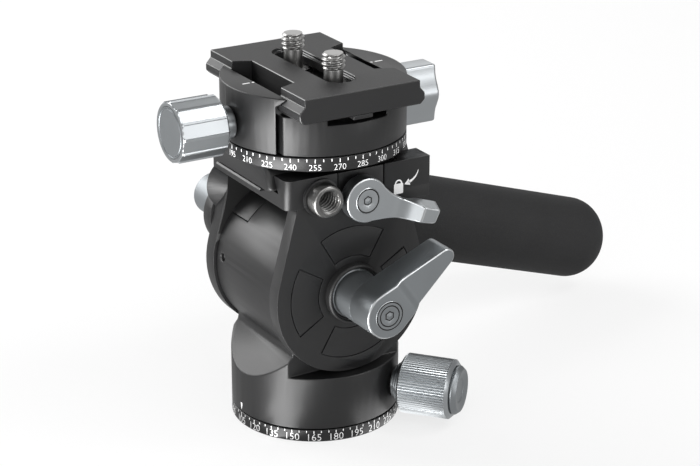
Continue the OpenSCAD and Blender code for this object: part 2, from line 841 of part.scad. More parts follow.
module far_cheek() {
    color(BLACK) difference() {
        at_tilt() {
            slice_x(-cheek_out, -cheek_in) cheek_outline();
            intersection() {
                translate([-cheek_out, ear_place[0], ear_place[1]]) rotate([0, 90, 0])
                    cylinder(r1 = ear_r, r2 = ear_in_r, h = cheek_t);
                translate([-2 * cheek_out, -2 * cheek_out, 0])
                    cube([2 * cheek_out, 4 * cheek_out, platform_z - tilt_z]);
            }
        }
        cradle_holes();
        at_tilt() {
            rod_x(tilt_shaft_r + seat_gap, -cheek_out - eps, 0);
            rod_x(far_cap_r + seat_gap, -cheek_out - eps, far_cap_t - cheek_out);
        }
        at_eye() rod_x(handle_screw_r + run_gap, -cheek_out - eps, -cheek_in + eps);
    }
}

module cheek_screws() {
    color(STEEL) cheek_screw_places() cheek_screw(0, -cheek_screw_sink);
}

module tilt_shaft() {
    color(STEEL) at_tilt() difference() {
        rod_x(tilt_shaft_r, far_cap_t - cheek_out, cheek_out);
        rod_x(stud_r + 2 * run_gap, 0, cheek_out + eps);
    }
}

module hub_collar() {
    chamfer = 0.8;
    end = cheek_out + hub_collar_h;
    color(DARK) at_tilt() difference() {
        turned_x([
            [cheek_out, 0], [cheek_out, hub_collar_r], [end - chamfer, hub_collar_r],
            [end, hub_collar_r - chamfer], [end, 0]
        ]);
        rod_x(collar_in_r, cheek_out - eps, end + eps);
    }
}

module far_hub_cap() {
    color(BLACK) at_tilt() rod_x(far_cap_r, -cheek_out, far_cap_t - cheek_out);
}

module accessory_insert() {
    chamfer = 0.6;
    color(STEEL) at_accessory() difference() {
        turned_x([
            [accessory_end - accessory_l, 0], [accessory_end - accessory_l, accessory_r],
            [accessory_end - chamfer, accessory_r], [accessory_end, accessory_r - chamfer], [accessory_end, 0]
        ]);
        rod_x(accessory_hole_r, accessory_end - accessory_l - eps, accessory_end + eps);
    }
}

module tilt_lever() {
    arm_end = lever_end - lever_step;
    edge = 0.6;
    color(SILVER) at_tilt() difference() {
        union() {
            turned_x([
                [lever_start, 0], [lever_start, lever_hub_r], [lever_end - edge, lever_hub_r],
                [lever_end, lever_hub_r - edge], [lever_end, 0]
            ]);
            rotate([lever_angle, 0, 0]) slice_x(arm_end - lever_arm_d, arm_end)
                tapered_link(lever_hub_r - lever_root, lever_tip_r, lever_arm_l);
        }
        rod_x(stud_r + seat_gap, 0, lever_end - 2 * cap_t);
        rod_x(lever_screw_r + seat_gap, lever_end - cap_t, lever_end + eps);
    }
}

module tilt_lever_screw() {
    hex_r = 1.5;
    color(STEEL) at_tilt() difference() {
        rod_x(lever_screw_r, lever_end - cap_t, lever_end - 0.1);
        translate([lever_end - cap_t / 2, 0, 0]) rotate([0, 90, 0])
            cylinder(r = hex_r, h = cap_t, $fn = 6);
    }
}

module tilt_clamp_stud() {
    color(STEEL) at_tilt() rod_x(stud_r, 1, lever_end - 3 * cap_t);
}

module release_lever() {
    knee = release_arm_l * 0.62;
    neck_r = 2.3;
    tip_r = 2;
    bend = 2.2;
    arm_x = release_hub_x + 0.4;
    tip_x = release_hub_x + bend;
    arm_t = 2.8;
    hub_end = release_hub_x + release_hub_t;
    color(SILVER) at_release() difference() {
        union() {
            rod_x(release_hub_r, release_hub_x, hub_end);
            rod_x(release_boss_r, release_hub_x - release_boss_l, release_hub_x + eps);
            rotate([-release_angle, 0, 0]) {
                slice_x(arm_x, arm_x + arm_t) tapered_link(release_hub_r - 1, neck_r, knee);
                hull() {
                    translate([0, knee, 0]) rod_x(neck_r, arm_x, arm_x + arm_t, $fn = 32);
                    translate([0, release_arm_l - tip_r, 0]) rod_x(tip_r, tip_x, tip_x + arm_t, $fn = 32);
                }
            }
        }
        rod_x(release_screw_r + seat_gap, 0, hub_end + eps);
        rod_x(release_hub_r / 2 + seat_gap, hub_end - cap_t, hub_end + eps);
    }
}

module release_screw() {
    hub_end = release_hub_x + release_hub_t;
    hex_r = 1.3;
    color(STEEL) at_release() difference() {
        union() {
            rod_x(release_screw_r, cheek_in - release_block[0] + 2, hub_end - cap_t + 0.1);
            rod_x(release_hub_r / 2, hub_end - cap_t, hub_end - 0.1);
        }
        rotate([0, 90, 0]) translate([0, 0, hub_end - cap_t / 2]) cylinder(r = hex_r, h = cap_t, $fn = 6);
    }
}

module release_jaw() {
    floor_under = platform_z + part_gap;
    color(BLACK) difference() {
        slice_y(jaw_y - release_jaw_half, jaw_y + release_jaw_half) polygon([
            [groove_half(floor_z), floor_under], [platform_half, floor_under], [platform_half, wall_z],
            [groove_half(wall_z), wall_z], [groove_half(floor_z), floor_z]
        ]);
        at_release() {
            rod_x(release_screw_r + part_gap, 0, platform_half + eps);
            rod_x(release_boss_r + part_gap, release_hub_x - release_boss_l - release_travel - part_gap,
                  platform_half + eps);
        }
    }
}

module dovetail_slab() {
    foot = slab_foot_half;
    color(BLACK) difference() {
        slice_y(-slab_l / 2, slab_l / 2) polygon([
            [slab_lip - foot, slab_z], [foot - slab_lip, slab_z], [foot, slab_z + slab_lip],
            [slab_top_half, slab_top], [-slab_top_half, slab_top], [-foot, slab_z + slab_lip]
        ]);
        slab_screw_places() slab_screw(seat_gap);
    }
}

// Places of the screws between the slab and what it carries
module slab_screw_places() {
    for (place = [-1, 0, 1]) translate([0, place * slab_l / 3, slab_z]) children();
}

// Cylinder-head screw, head down, with a margin for its hole
module slab_screw(extra) {
    translate([0, 0, -extra]) cylinder(r = slab_screw_head_r + extra, h = slab_screw_head_h + 2 * extra);
    cylinder(r = slab_screw_r + extra, h = slab_t + upper_ring_h - slab_screw_cover + extra);
}

module slab_screws() {
    color(STEEL) slab_screw_places() slab_screw(0);
}

module upper_scale_ring() {
    color(BLACK) difference() {
        ring_z(disc_r, turn_spindle_r + seat_gap, upper_ring_z, upper_ring_h);
        slab_screw_places() slab_screw(seat_gap);
    }
}

module turntable_spindle() {
    color(STEEL) difference() {
        ring_z(turn_spindle_r, 0, upper_ring_z, turn_cap_z - upper_ring_z);
        slab_screw_places() slab_screw(seat_gap);
    }
}

module spindle_cap() {
    color(STEEL) ring_z(turn_cap_r, 0, turn_cap_z, turn_cap_t);
}

// Outline of the lip of a jaw over the plate's slope, in the YZ plane at the rear
module jaw_lip_outline() {
    gap = part_gap;
    slope = slope_run / plate_slope_h;
    low = flange_high - gap / 2;
    polygon([
        [jaw_face, low - 0.6], [plate_flange_half + gap, low],
        [plate_flange_half + gap - slope * (jaw_top - low), jaw_top], [jaw_face, jaw_top]
    ]);
}

module clamp_body() {
    color(BLACK) difference() {
        union() {
            ring_z(disc_r, 0, clamp_z, clamp_h);
            intersection() {
                ring_z(disc_r, 0, clamp_z, jaw_top - clamp_z);
                union() {
                    translate([-disc_r, jaw_face, clamp_z]) cube([2 * disc_r, disc_r, jaw_top - clamp_z]);
                    slice_x(-disc_r, disc_r) jaw_lip_outline();
                }
            }
        }
        translate([-disc_r, -body_face - disc_r, 0]) cube([2 * disc_r, disc_r, 2 * jaw_top]);
        translate([-disc_r - eps, -channel_half, seat_z - channel_d])
            cube([2 * (disc_r + eps), 2 * channel_half, channel_d + eps]);
        ring_z(turn_spindle_r + 2 * part_gap, 0, 0, 2 * seat_z);
        ring_z(turn_bush_r + seat_gap, 0, clamp_z - eps, turn_bush_h + eps);
        ring_z(turn_cap_r + part_gap, 0, turn_cap_z - part_gap, seat_z);
        at_wing_axis() rod_y(stud_r + 2 * run_gap, 0, disc_r + eps);
        at_clamp_axis() {
            rod_y(stud_r + 2 * run_gap, -disc_r, -clamp_stud_in + part_gap);
            for (side = [-1, 1]) translate([side * guide_pin_x, 0, 0])
                rod_y(guide_pin_r + run_gap, -disc_r, -guide_pin_in + part_gap);
        }
    }
}

module turntable_bush() {
    color(BRONZE) ring_z(turn_bush_r, turn_spindle_r + run_gap, clamp_z, turn_bush_h);
}

module clamp_jaw() {
    color(BLACK) difference() {
        intersection() {
            ring_z(disc_r, 0, clamp_z, jaw_top - clamp_z);
            union() {
                translate([-disc_r, -jaw_face - disc_r, clamp_z])
                    cube([2 * disc_r, disc_r, jaw_top - clamp_z]);
                mirror([0, 1, 0]) slice_x(-disc_r, disc_r) jaw_lip_outline();
            }
        }
        at_clamp_axis() {
            rod_y(stud_r + 2 * run_gap, -disc_r - eps, 0);
            for (side = [-1, 1]) translate([side * guide_pin_x, 0, 0])
                rod_y(guide_pin_r + seat_gap, -guide_pin_out, 0);
        }
    }
}

module jaw_guide_pins() {
    color(STEEL) at_clamp_axis() for (side = [-1, 1]) translate([side * guide_pin_x, 0, 0])
        rod_y(guide_pin_r, -guide_pin_out, -guide_pin_in);
}

// Fluted rod along -Y
module fluted_rod(r, y0, y1) {
    cut_r = 2.6;
    slice_y(y0, y1) difference() {
        circle(r = r);
        for (i = [0 : flutes - 1]) rotate(360 * (i + 0.5) / flutes)
            translate([r + cut_r - flute_d, 0]) circle(r = cut_r, $fn = 32);
    }
}

module clamp_knob() {
    color(SILVER) at_clamp_axis() difference() {
        union() {
            fluted_rod(clamp_knob_r, -clamp_knob_end, -clamp_knob_start);
            rod_y(collar_r, -clamp_knob_start - eps, -clamp_knob_start + clamp_collar_l);
        }
        rod_y(stud_r + seat_gap, -clamp_knob_end + 2 * cap_t, 0);
        rod_y(clamp_knob_r - cap_margin + seat_gap, -clamp_knob_end - eps, cap_t - clamp_knob_end);
    }
}

module clamp_stud() {
    color(STEEL) at_clamp_axis() rod_y(stud_r, -clamp_knob_end + 3 * cap_t, -clamp_stud_in);
}

module clamp_knob_cap() {
    color(SILVER) at_clamp_axis()
        rod_y(clamp_knob_r - cap_margin, -clamp_knob_end - 0.1, cap_t - clamp_knob_end);
}

module turntable_brake_shoe() {
    color(BRONZE) at_wing_axis() rod_y(stud_r, turn_shoe_start, turn_shoe_start + shoe_l);
}

module turntable_lock_stud() {
    color(STEEL) at_wing_axis() rod_y(stud_r, turn_stud_start, wing_start + wing_l - 2 * cap_t);
}

// Outline of the wing knob: a round hub with a rounded bar through it, in the XZ plane
module wing_outline() {
    corner = 2.2;
    square([wing_t, wing_h - 2 * corner], center = true);
    square([wing_t - 2 * corner, wing_h], center = true);
    for (sx = [-1, 1], sz = [-1, 1])
        translate([sx * (wing_t / 2 - corner), sz * (wing_h / 2 - corner)]) circle(r = corner);
    circle(r = wing_hub_r);
}

module turntable_lock_knob() {
    color(SILVER) at_wing_axis() difference() {
        slice_y(wing_start, wing_start + wing_l) wing_outline();
        rod_y(stud_r + seat_gap, 0, wing_start + wing_l - 2 * cap_t + part_gap);
    }
}

// Outline of the plate across its length, in the YZ plane
module plate_outline() {
    half = [
        [plate_flange_half - foot_in, plate_z], [plate_flange_half, flange_low],
        [plate_flange_half, flange_high], [plate_top_half, slope_high], [plate_top_half, plate_top]
    ];
    polygon(concat(half, [for (i = [len(half) - 1 : -1 : 0]) [-half[i][0], half[i][1]]]));
}

module quick_plate() {
    taper = 2.5;
    reach = plate_flange_half + 1;
    depth = plate_top_half - notch_d;
    color(BLACK) difference() {
        slice_x(-plate_l / 2, plate_l / 2) plate_outline();
        for (side = [0, 1]) mirror([0, side, 0]) translate([0, 0, plate_z - eps])
            linear_extrude(plate_top - plate_z + 2 * eps) polygon([
                [-notch_l / 2 - taper * 0.3, reach], [-notch_l / 2 + taper, depth],
                [notch_l / 2 - taper, depth], [notch_l / 2 + taper * 0.3, reach]
            ]);
        translate([0, 0, plate_z - eps]) linear_extrude(plate_top - plate_z + 2 * eps)
            slot_outline(slot_l, slot_r);
        translate([0, 0, plate_top - recess_d]) linear_extrude(recess_d + eps)
            slot_outline(slot_l + 1.6, recess_half);
        translate([0, 0, plate_z - eps]) linear_extrude(head_room_top - plate_z + eps)
            slot_outline(slot_l - 2 * slot_r + 2 * head_room_r, head_room_r);
    }
}

module plate_stops() {
    color(BLACK) for (side = [-1, 1])
        translate([side * (plate_l / 2 - stop_l / 2) - stop_l / 2, -stop_half, plate_z - stop_h])
            cube([stop_l, 2 * stop_half, stop_h]);
}

// Washer that holds a camera screw in the plate
module screw_washer(x) {
    translate([x, 0, 0]) ring_z(washer_r, screw_neck_r + run_gap, washer_z, washer_h);
}

// Camera screw: head under the plate, plain neck and thread
module camera_screw(x) {
    tip = 0.6;
    top = plate_top + camera_screw_out;
    translate([x, 0, 0]) difference() {
        union() {
            ring_z(camera_head_r, 0, head_z, head_h);
            ring_z(screw_neck_r, 0, head_z, thread_z + eps - head_z);
            ring_z(camera_thread_r, 0, thread_z, top - tip - thread_z);
            translate([0, 0, top - tip]) cylinder(r1 = camera_thread_r, r2 = camera_thread_r - tip, h = tip);
        }
        translate([-2 * camera_head_r, -0.6, head_z - eps]) cube([4 * camera_head_r, 1.2, 1.2 + eps]);
    }
}

module screw_washer_front() { color(STEEL) screw_washer(-camera_screw_x); }
module screw_washer_rear() { color(STEEL) screw_washer(camera_screw_x); }
module camera_screw_front() { color(STEEL) camera_screw(-camera_screw_x); }
module camera_screw_rear() { color(STEEL) camera_screw(camera_screw_x); }

module handle_bracket() {
    color(BLACK) difference() {
        union() {
            at_eye() rod_x(eye_r, -eye_out, -cheek_out - part_gap);
            at_handle() {
                translate([handle_x - eye_out + arm_inset, 0, -arm_half])
                    cube([eye_t - 2 * arm_inset, arm_end, 2 * arm_half]);
                translate([0, link_start, -link_half])
                    cube([handle_x - link_x, link_end - link_start, 2 * link_half]);
                rod_y(socket_r, socket_start, grip_start);
            }
        }
        at_handle() rod_y(handle_tube_r + seat_gap, tube_start, grip_start + eps);
        at_eye() rod_x(handle_screw_r + run_gap, -eye_out - eps, 0);
    }
}

module handle_tube() {
    wall = 1.5;
    color(STEEL) at_handle() difference() {
        rod_y(handle_tube_r, tube_start, tube_end);
        rod_y(handle_tube_r - wall, tube_start - eps, tube_end + eps);
    }
}

// Half outline of the grip: a straight sleeve with a rounded end, as [radius, place]
module grip_outline() {
    difference() {
        union() {
            translate([0, grip_start]) square([grip_r, grip_l - grip_end_r]);
            translate([0, grip_start]) square([grip_r - grip_end_r, grip_l]);
            intersection() {
                translate([grip_r - grip_end_r, grip_end - grip_end_r]) circle(r = grip_end_r, $fn = 96);
                translate([grip_r - grip_end_r, grip_end - grip_end_r]) square(grip_end_r);
            }
        }
        translate([-eps, grip_start - eps])
            square([handle_tube_r + seat_gap + eps, tube_end - grip_start + 2 * eps]);
    }
}

module handle_grip() {
    color(RUBBER) at_handle() rotate([-90, 0, 0]) rotate_extrude() grip_outline();
}

module handle_knob() {
    edge = 1;
    end = handle_knob_start + handle_knob_l;
    color(SILVER) at_eye() mirror([1, 0, 0]) difference() {
        turned_x([
            [handle_knob_start, 0], [handle_knob_start, handle_knob_r - edge / 2],
            [handle_knob_start + edge / 2, handle_knob_r], [end - edge, handle_knob_r],
            [end, handle_knob_r - edge], [end, 0]
        ]);
        rod_x(handle_screw_r + seat_gap, 0, end - 3 * cap_t);
    }
}

module handle_screw() {
    end = handle_knob_start + handle_knob_l;
    color(STEEL) at_eye() rod_x(handle_screw_r, 4 * cap_t - end, -cheek_in - part_gap);
}

base_plate();
lower_scale_ring();
tripod_bush();
pan_spindle();
base_screws();
spindle_nut();
pan_housing();
pan_bush();
pan_damper();
drum_end_plate();
tilt_damper();
tilt_bush_near();
tilt_bush_far();
drum_cover();
filler_screw();
pan_brake_shoe();
pan_lock_stud();
pan_lock_knob();
pan_lock_cap();
cradle_platform();
near_cheek();
far_cheek();
cheek_screws();
tilt_shaft();
hub_collar();
far_hub_cap();
accessory_insert();
tilt_lever();
tilt_lever_screw();
tilt_clamp_stud();
release_lever();
release_screw();
release_jaw();
dovetail_slab();
upper_scale_ring();
turntable_spindle();
slab_screws();
spindle_cap();
clamp_body();
turntable_bush();
clamp_jaw();
jaw_guide_pins();
clamp_knob();
clamp_stud();
clamp_knob_cap();
turntable_brake_shoe();
turntable_lock_stud();
turntable_lock_knob();
quick_plate();
plate_stops();
screw_washer_front();
camera_screw_front();
screw_washer_rear();
camera_screw_rear();
handle_bracket();
handle_tube();
handle_grip();
handle_knob();
handle_screw();
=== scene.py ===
"""The looks of a compact fluid video head: finishes, printed scales, threads, knurls and studio light."""

import json
import logging
import math
from dataclasses import dataclass, field
from enum import Enum
from typing import Callable, Iterable, Optional, Sequence

import bmesh
import bpy
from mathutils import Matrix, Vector

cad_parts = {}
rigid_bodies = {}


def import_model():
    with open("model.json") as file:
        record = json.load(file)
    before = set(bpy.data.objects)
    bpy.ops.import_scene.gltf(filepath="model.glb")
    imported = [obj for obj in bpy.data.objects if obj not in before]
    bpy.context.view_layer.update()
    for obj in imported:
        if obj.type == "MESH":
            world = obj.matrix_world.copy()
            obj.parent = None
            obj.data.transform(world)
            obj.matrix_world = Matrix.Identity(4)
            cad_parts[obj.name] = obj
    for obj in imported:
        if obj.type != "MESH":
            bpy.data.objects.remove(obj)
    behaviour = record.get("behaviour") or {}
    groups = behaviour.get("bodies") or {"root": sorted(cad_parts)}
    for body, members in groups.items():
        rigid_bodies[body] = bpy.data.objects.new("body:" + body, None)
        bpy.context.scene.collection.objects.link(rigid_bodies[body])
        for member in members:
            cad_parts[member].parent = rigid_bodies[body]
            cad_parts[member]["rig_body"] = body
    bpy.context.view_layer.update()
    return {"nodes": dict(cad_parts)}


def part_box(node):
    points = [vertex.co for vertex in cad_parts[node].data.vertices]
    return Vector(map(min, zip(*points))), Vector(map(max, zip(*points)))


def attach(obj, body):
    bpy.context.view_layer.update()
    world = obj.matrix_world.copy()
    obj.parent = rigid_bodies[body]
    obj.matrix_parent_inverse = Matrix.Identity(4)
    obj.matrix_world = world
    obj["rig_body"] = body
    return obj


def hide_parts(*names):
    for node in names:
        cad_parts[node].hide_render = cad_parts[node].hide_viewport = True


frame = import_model()

LOG = logging.getLogger("video_head")

# Lengths are in metres, and a size is written as a number of millimetres
MM = 0.001
FULL_TURN = 2 * math.pi
ALONG_X = Vector((1, 0, 0))
ALONG_Y = Vector((0, 1, 0))
UPWARDS = Vector((0, 0, 1))

# Print stands this far out of its surface, and a bump is drawn as this deep
PRINT_RISE = 0.03 * MM
BUMP_DEPTH = 0.1 * MM

# How CAD meshes are cleaned before their edges are broken, with angles in degrees
MERGE_DISTANCE = 0.0005 * MM
FLAT_ANGLE = 0.4
CAD_EDGE_ANGLE = 30.0
LEVER_EDGE_ANGLE = 40.0
CORNER_STEPS = 8

# Faces round a turned piece, a small one and a screw, and a gap too small to matter
ROUND_FACES = 128
SMALL_ROUND_FACES = 96
SCREW_FACES = 72
HAIR = 0.01 * MM

Profile = list[tuple[float, float]]
Outline = list[tuple[float, float]]
Pairs = tuple[tuple[float, float], ...]
Colour = tuple[float, float, float]
Placement = Callable[[float, float, float], Vector]
Ripple = Callable[[float, float, float], float]
Shift = Callable[[float], float]
EdgeRadius = Callable[[Vector, Vector], float]


class Effect(Enum):
    """Shader node groups that several finishes share."""

    GRAIN = "satin_grain"
    EDGE = "edge_sheen"
    TURNED = "turning_marks"
    FOAM = "foam_cells"


class ScrewPlace(Enum):
    """The places of the two camera screws along the plate."""

    FRONT = "front"
    REAR = "rear"


class Graph:
    """Adds nodes to one shader tree and joins them."""

    def __init__(self, tree: bpy.types.NodeTree) -> None:
        """Keeps the tree to work in."""
        self.tree = tree

    def add(self, kind: str, inputs: Optional[dict] = None, **settings: object) -> bpy.types.Node:
        """Adds a node.

        Args:
            kind: the node's type name.
            inputs: values or output sockets for the node's inputs, by name or number.
            settings: the node's own properties.

        Returns:
            The new node.
        """
        node = self.tree.nodes.new(kind)
        for name, value in settings.items():
            setattr(node, name, value)
        for name, value in (inputs or {}).items():
            self.feed(node.inputs[name], value)
        return node

    def feed(self, socket: bpy.types.NodeSocket, value: object) -> None:
        """Joins an output socket to an input, or sets the input's own value.

        Args:
            socket: the input.
            value: an output socket, or a plain value.
        """
        if isinstance(value, bpy.types.NodeSocket):
            self.tree.links.new(value, socket)
        else:
            socket.default_value = value

    def math(self, operation: str, first: object, second: object) -> bpy.types.NodeSocket:
        """Returns the output of a Math node."""
        return self.add("ShaderNodeMath", {0: first, 1: second}, operation=operation).outputs[0]

    def centred(self, value: object, amount: object) -> bpy.types.NodeSocket:
        """Returns how far a value of 0 to 1 lies from its middle, times an amount."""
        return self.math("MULTIPLY", self.math("SUBTRACT", value, 0.5), amount)

    def vector(self, operation: str, first: object, second: object = None) -> bpy.types.Node:
        """Returns a Vector Math node."""
        inputs = {0: first} if second is None else {0: first, 1: second}
        return self.add("ShaderNodeVectorMath", inputs, operation=operation)

    def scaled(self, colour: object, gain: object) -> bpy.types.NodeSocket:
        """Returns a colour times a number."""
        return self.add("ShaderNodeVectorMath", {0: colour, "Scale": gain}, operation="SCALE").outputs[0]

    def where(self) -> bpy.types.NodeSocket:
        """Returns the place on the piece that is being shaded."""
        return self.add("ShaderNodeTexCoord").outputs["Object"]

    def noise(self, where: object, scale: object, detail: float) -> bpy.types.NodeSocket:
        """Returns the value of a noise texture."""
        inputs = {"Vector": where, "Scale": scale, "Detail": detail}
        return self.add("ShaderNodeTexNoise", inputs).outputs[0]


class EffectGroups:
    """Builds each shared effect once, as a node group with named inputs and outputs."""

    SOCKETS = {float: "NodeSocketFloat", tuple: "NodeSocketColor", Vector: "NodeSocketVector"}
    BROAD_SCALE = 0.02
    TONE_TO_ROUGHNESS = 0.2
    BEVEL_SAMPLES = 4
    PATCH_SCALE = 900.0
    SHEEN_FROM, SHEEN_TO = 0.01, 0.12
    PORE_SCALE = 2.2
    PORE_ROUGHNESS = 0.2
    PORE_HEIGHT = 0.5
    DIMPLE_SCALE = 60.0
    FOAM_TONE, CELL_TONE, DIMPLE_TONE = 0.7, 0.35, 0.3

    def __init__(self) -> None:
        """Starts with no group made."""
        self.made: dict[Effect, bpy.types.NodeTree] = {}

    def get(self, effect: Effect) -> bpy.types.NodeTree:
        """Returns the group of an effect, made on first use.

        Args:
            effect: the shared effect.

        Returns:
            Its node group.
        """
        makers = {Effect.GRAIN: self.satin_grain, Effect.EDGE: self.edge_sheen,
                  Effect.TURNED: self.turning_marks, Effect.FOAM: self.foam_cells}
        if effect not in self.made:
            self.made[effect] = makers[effect]()
        return self.made[effect]

    def start(self, effect: Effect, inputs: dict[str, type],
              outputs: dict[str, type]) -> tuple[Graph, dict, dict]:
        """Makes an empty group.

        Args:
            effect: the effect that the group is for.
            inputs: input names and what they carry.
            outputs: output names and what they carry.

        Returns:
            The group's graph, its input sockets and its output sockets.
        """
        tree = bpy.data.node_groups.new(effect.value, "ShaderNodeTree")
        for label, kind in inputs.items():
            tree.interface.new_socket(label, in_out="INPUT", socket_type=self.SOCKETS[kind])
        for label, kind in outputs.items():
            tree.interface.new_socket(label, in_out="OUTPUT", socket_type=self.SOCKETS[kind])
        source = tree.nodes.new("NodeGroupInput")
        target = tree.nodes.new("NodeGroupOutput")
        ins = {label: source.outputs[label] for label in inputs}
        outs = {label: target.inputs[label] for label in outputs}
        return Graph(tree), ins, outs

    def satin_grain(self) -> bpy.types.NodeTree:
        """Returns fine blasted grain with a broad, faint change of tone."""
        graph, ins, outs = self.start(
            Effect.GRAIN,
            {"Color": tuple, "Tone": float, "Scale": float, "Roughness": float, "Spread": float},
            {"Color": tuple, "Roughness": float, "Height": float},
        )
        where = graph.where()
        fine = graph.noise(where, ins["Scale"], 4.0)
        broad = graph.noise(where, graph.math("MULTIPLY", ins["Scale"], self.BROAD_SCALE), 2.0)
        tone = graph.centred(broad, ins["Tone"])
        gain = graph.math("ADD", graph.math("ADD", 1.0, tone), graph.centred(fine, ins["Tone"]))
        duller = graph.math("MULTIPLY", tone, self.TONE_TO_ROUGHNESS)
        uneven = graph.math("ADD", graph.centred(fine, ins["Spread"]), duller)
        graph.feed(outs["Color"], graph.scaled(ins["Color"], gain))
        graph.feed(outs["Roughness"], graph.math("ADD", ins["Roughness"], uneven))
        graph.feed(outs["Height"], fine)
        return graph.tree

    def edge_sheen(self) -> bpy.types.NodeTree:
        """Returns a colour that lightens unevenly along edges: partly wear where handling has polished them,
        partly a painted highlight.
        """
        graph, ins, outs = self.start(
            Effect.EDGE,
            {"Color": tuple, "Edge": tuple, "Width": float, "Amount": float},
            {"Color": tuple},
        )
        bent = graph.add("ShaderNodeBevel", {"Radius": ins["Width"]}, samples=self.BEVEL_SAMPLES)
        straight = graph.add("ShaderNodeNewGeometry").outputs["Normal"]
        level = graph.vector("DOT_PRODUCT", bent.outputs[0], straight).outputs["Value"]
        patchy = graph.noise(graph.where(), self.PATCH_SCALE, 3.0)
        turn = graph.math("MULTIPLY", graph.math("SUBTRACT", 1.0, level), patchy)
        limits = {"Value": turn, "From Min": self.SHEEN_FROM, "From Max": self.SHEEN_TO}
        mask = graph.add("ShaderNodeMapRange", limits).outputs[0]
        share = graph.math("MULTIPLY", mask, ins["Amount"])
        mixed = graph.add("ShaderNodeMix", {0: share, 6: ins["Color"], 7: ins["Edge"]}, data_type="RGBA")
        graph.feed(outs["Color"], mixed.outputs[2])
        return graph.tree

    def turning_marks(self) -> bpy.types.NodeTree:
        """Returns the fine rings that a lathe leaves round an axis."""
        graph, ins, outs = self.start(
            Effect.TURNED,
            {"Centre": Vector, "Axis": Vector, "Pitch": float},
            {"Height": float},
        )
        arm = graph.vector("SUBTRACT", graph.where(), ins["Centre"]).outputs[0]
        reach = graph.vector("LENGTH", graph.vector("CROSS_PRODUCT", arm, ins["Axis"]).outputs[0])
        along = graph.vector("DOT_PRODUCT", arm, ins["Axis"]).outputs["Value"]
        place = graph.math("DIVIDE", graph.math("ADD", reach.outputs["Value"], along), ins["Pitch"])
        line = graph.add("ShaderNodeCombineXYZ", {0: place}).outputs[0]
        graph.feed(outs["Height"], graph.noise(line, 1.0, 2.0))
        return graph.tree

    def foam_cells(self) -> bpy.types.NodeTree:
        """Returns the closed cells and faint dimples of a foam sleeve."""
        graph, ins, outs = self.start(
            Effect.FOAM,
            {"Color": tuple, "Scale": float, "Roughness": float},
            {"Color": tuple, "Roughness": float, "Height": float},
        )
        where = graph.where()
        cells = graph.add("ShaderNodeTexVoronoi", {"Vector": where, "Scale": ins["Scale"]})
        cell = cells.outputs["Distance"]
        fine = graph.noise(where, graph.math("MULTIPLY", ins["Scale"], self.PORE_SCALE), 3.0)
        broad = graph.noise(where, self.DIMPLE_SCALE, 2.0)
        dimple = graph.math("MULTIPLY", broad, self.DIMPLE_TONE)
        shade = graph.math("ADD", graph.math("MULTIPLY", cell, self.CELL_TONE), dimple)
        gain = graph.math("ADD", self.FOAM_TONE, shade)
        rough = graph.math("ADD", ins["Roughness"], graph.centred(fine, self.PORE_ROUGHNESS))
        graph.feed(outs["Color"], graph.scaled(ins["Color"], gain))
        graph.feed(outs["Roughness"], rough)
        graph.feed(outs["Height"], graph.math("ADD", cell, graph.math("MULTIPLY", fine, self.PORE_HEIGHT)))
        return graph.tree


EFFECTS = EffectGroups()


@dataclass(frozen=True)
class Surface:
    """A named finish whose material is made once."""

    name: str
    slot: str
    colour: Colour

    def material(self) -> bpy.types.Material:
        """Returns the finish's material, made on first use."""
        known = bpy.data.materials.get(self.name)
        if known:
            return known
        material = bpy.data.materials.new(self.name)
        material.use_nodes = True
        self.paint(Graph(material.node_tree), material.node_tree.nodes["Principled BSDF"])
        return material

    def paint(self, graph: Graph, shader: bpy.types.Node) -> None:
        """Sets up the shader, in each kind of finish's own way."""
        raise NotImplementedError

    @staticmethod
    def effect(graph: Graph, effect: Effect, values: dict) -> bpy.types.Node:
        """Returns a shared effect's node group, placed in a material with its own values."""
        return graph.add("ShaderNodeGroup", values, node_tree=EFFECTS.get(effect))

    @staticmethod
    def join(graph: Graph, shader: bpy.types.Node, colour: bpy.types.NodeSocket,
             roughness: bpy.types.NodeSocket, height: bpy.types.NodeSocket, strength: float) -> None:
        """Feeds a shader what changes over the surface.

        Args:
            graph: the material's graph.
            shader: its shader node.
            colour: the colour.
            roughness: the roughness.
            height: the height of the bump.
            strength: the strength of the bump.
        """
        inputs = {"Strength": strength, "Distance": BUMP_DEPTH, "Height": height}
        bump = graph.add("ShaderNodeBump", inputs)
        graph.feed(shader.inputs["Base Color"], colour)
        graph.feed(shader.inputs["Roughness"], roughness)
        graph.feed(shader.inputs["Normal"], bump.outputs[0])


@dataclass(frozen=True)
class Finish(Surface):
    """A blasted, anodised or moulded finish with grain, and with lighter edges that are partly wear and
    partly a painted highlight.
    """

    metallic: float
    roughness: float
    specular: float = 0.5
    # Lighter colour along edges: partly wear, partly a painted highlight
    edge: Optional[Colour] = None
    edge_width: float = 0.25 * MM
    edge_amount: float = 0.5
    tone: float = 0.25
    grain: float = 5200.0
    spread: float = 0.1
    bump: float = 0.05
    foam: bool = False

    def paint(self, graph: Graph, shader: bpy.types.Node) -> None:
        """Sets up the shader with grain or foam, and with lighter edges that are partly wear and partly a
        painted highlight.

        Args:
            graph: the material's graph.
            shader: its shader node.
        """
        shader.inputs["Metallic"].default_value = self.metallic
        shader.inputs["Specular IOR Level"].default_value = self.specular
        values = {"Color": (*self.colour, 1.0), "Scale": self.grain, "Roughness": self.roughness}
        if not self.foam:
            values |= {"Tone": self.tone, "Spread": self.spread}
        skin = self.effect(graph, Effect.FOAM if self.foam else Effect.GRAIN, values)
        colour = skin.outputs["Color"]
        if self.edge:
            values = {"Color": colour, "Edge": (*self.edge, 1.0), "Width": self.edge_width,
                      "Amount": self.edge_amount}
            colour = self.effect(graph, Effect.EDGE, values).outputs["Color"]
        self.join(graph, shader, colour, skin.outputs["Roughness"], skin.outputs["Height"], self.bump)


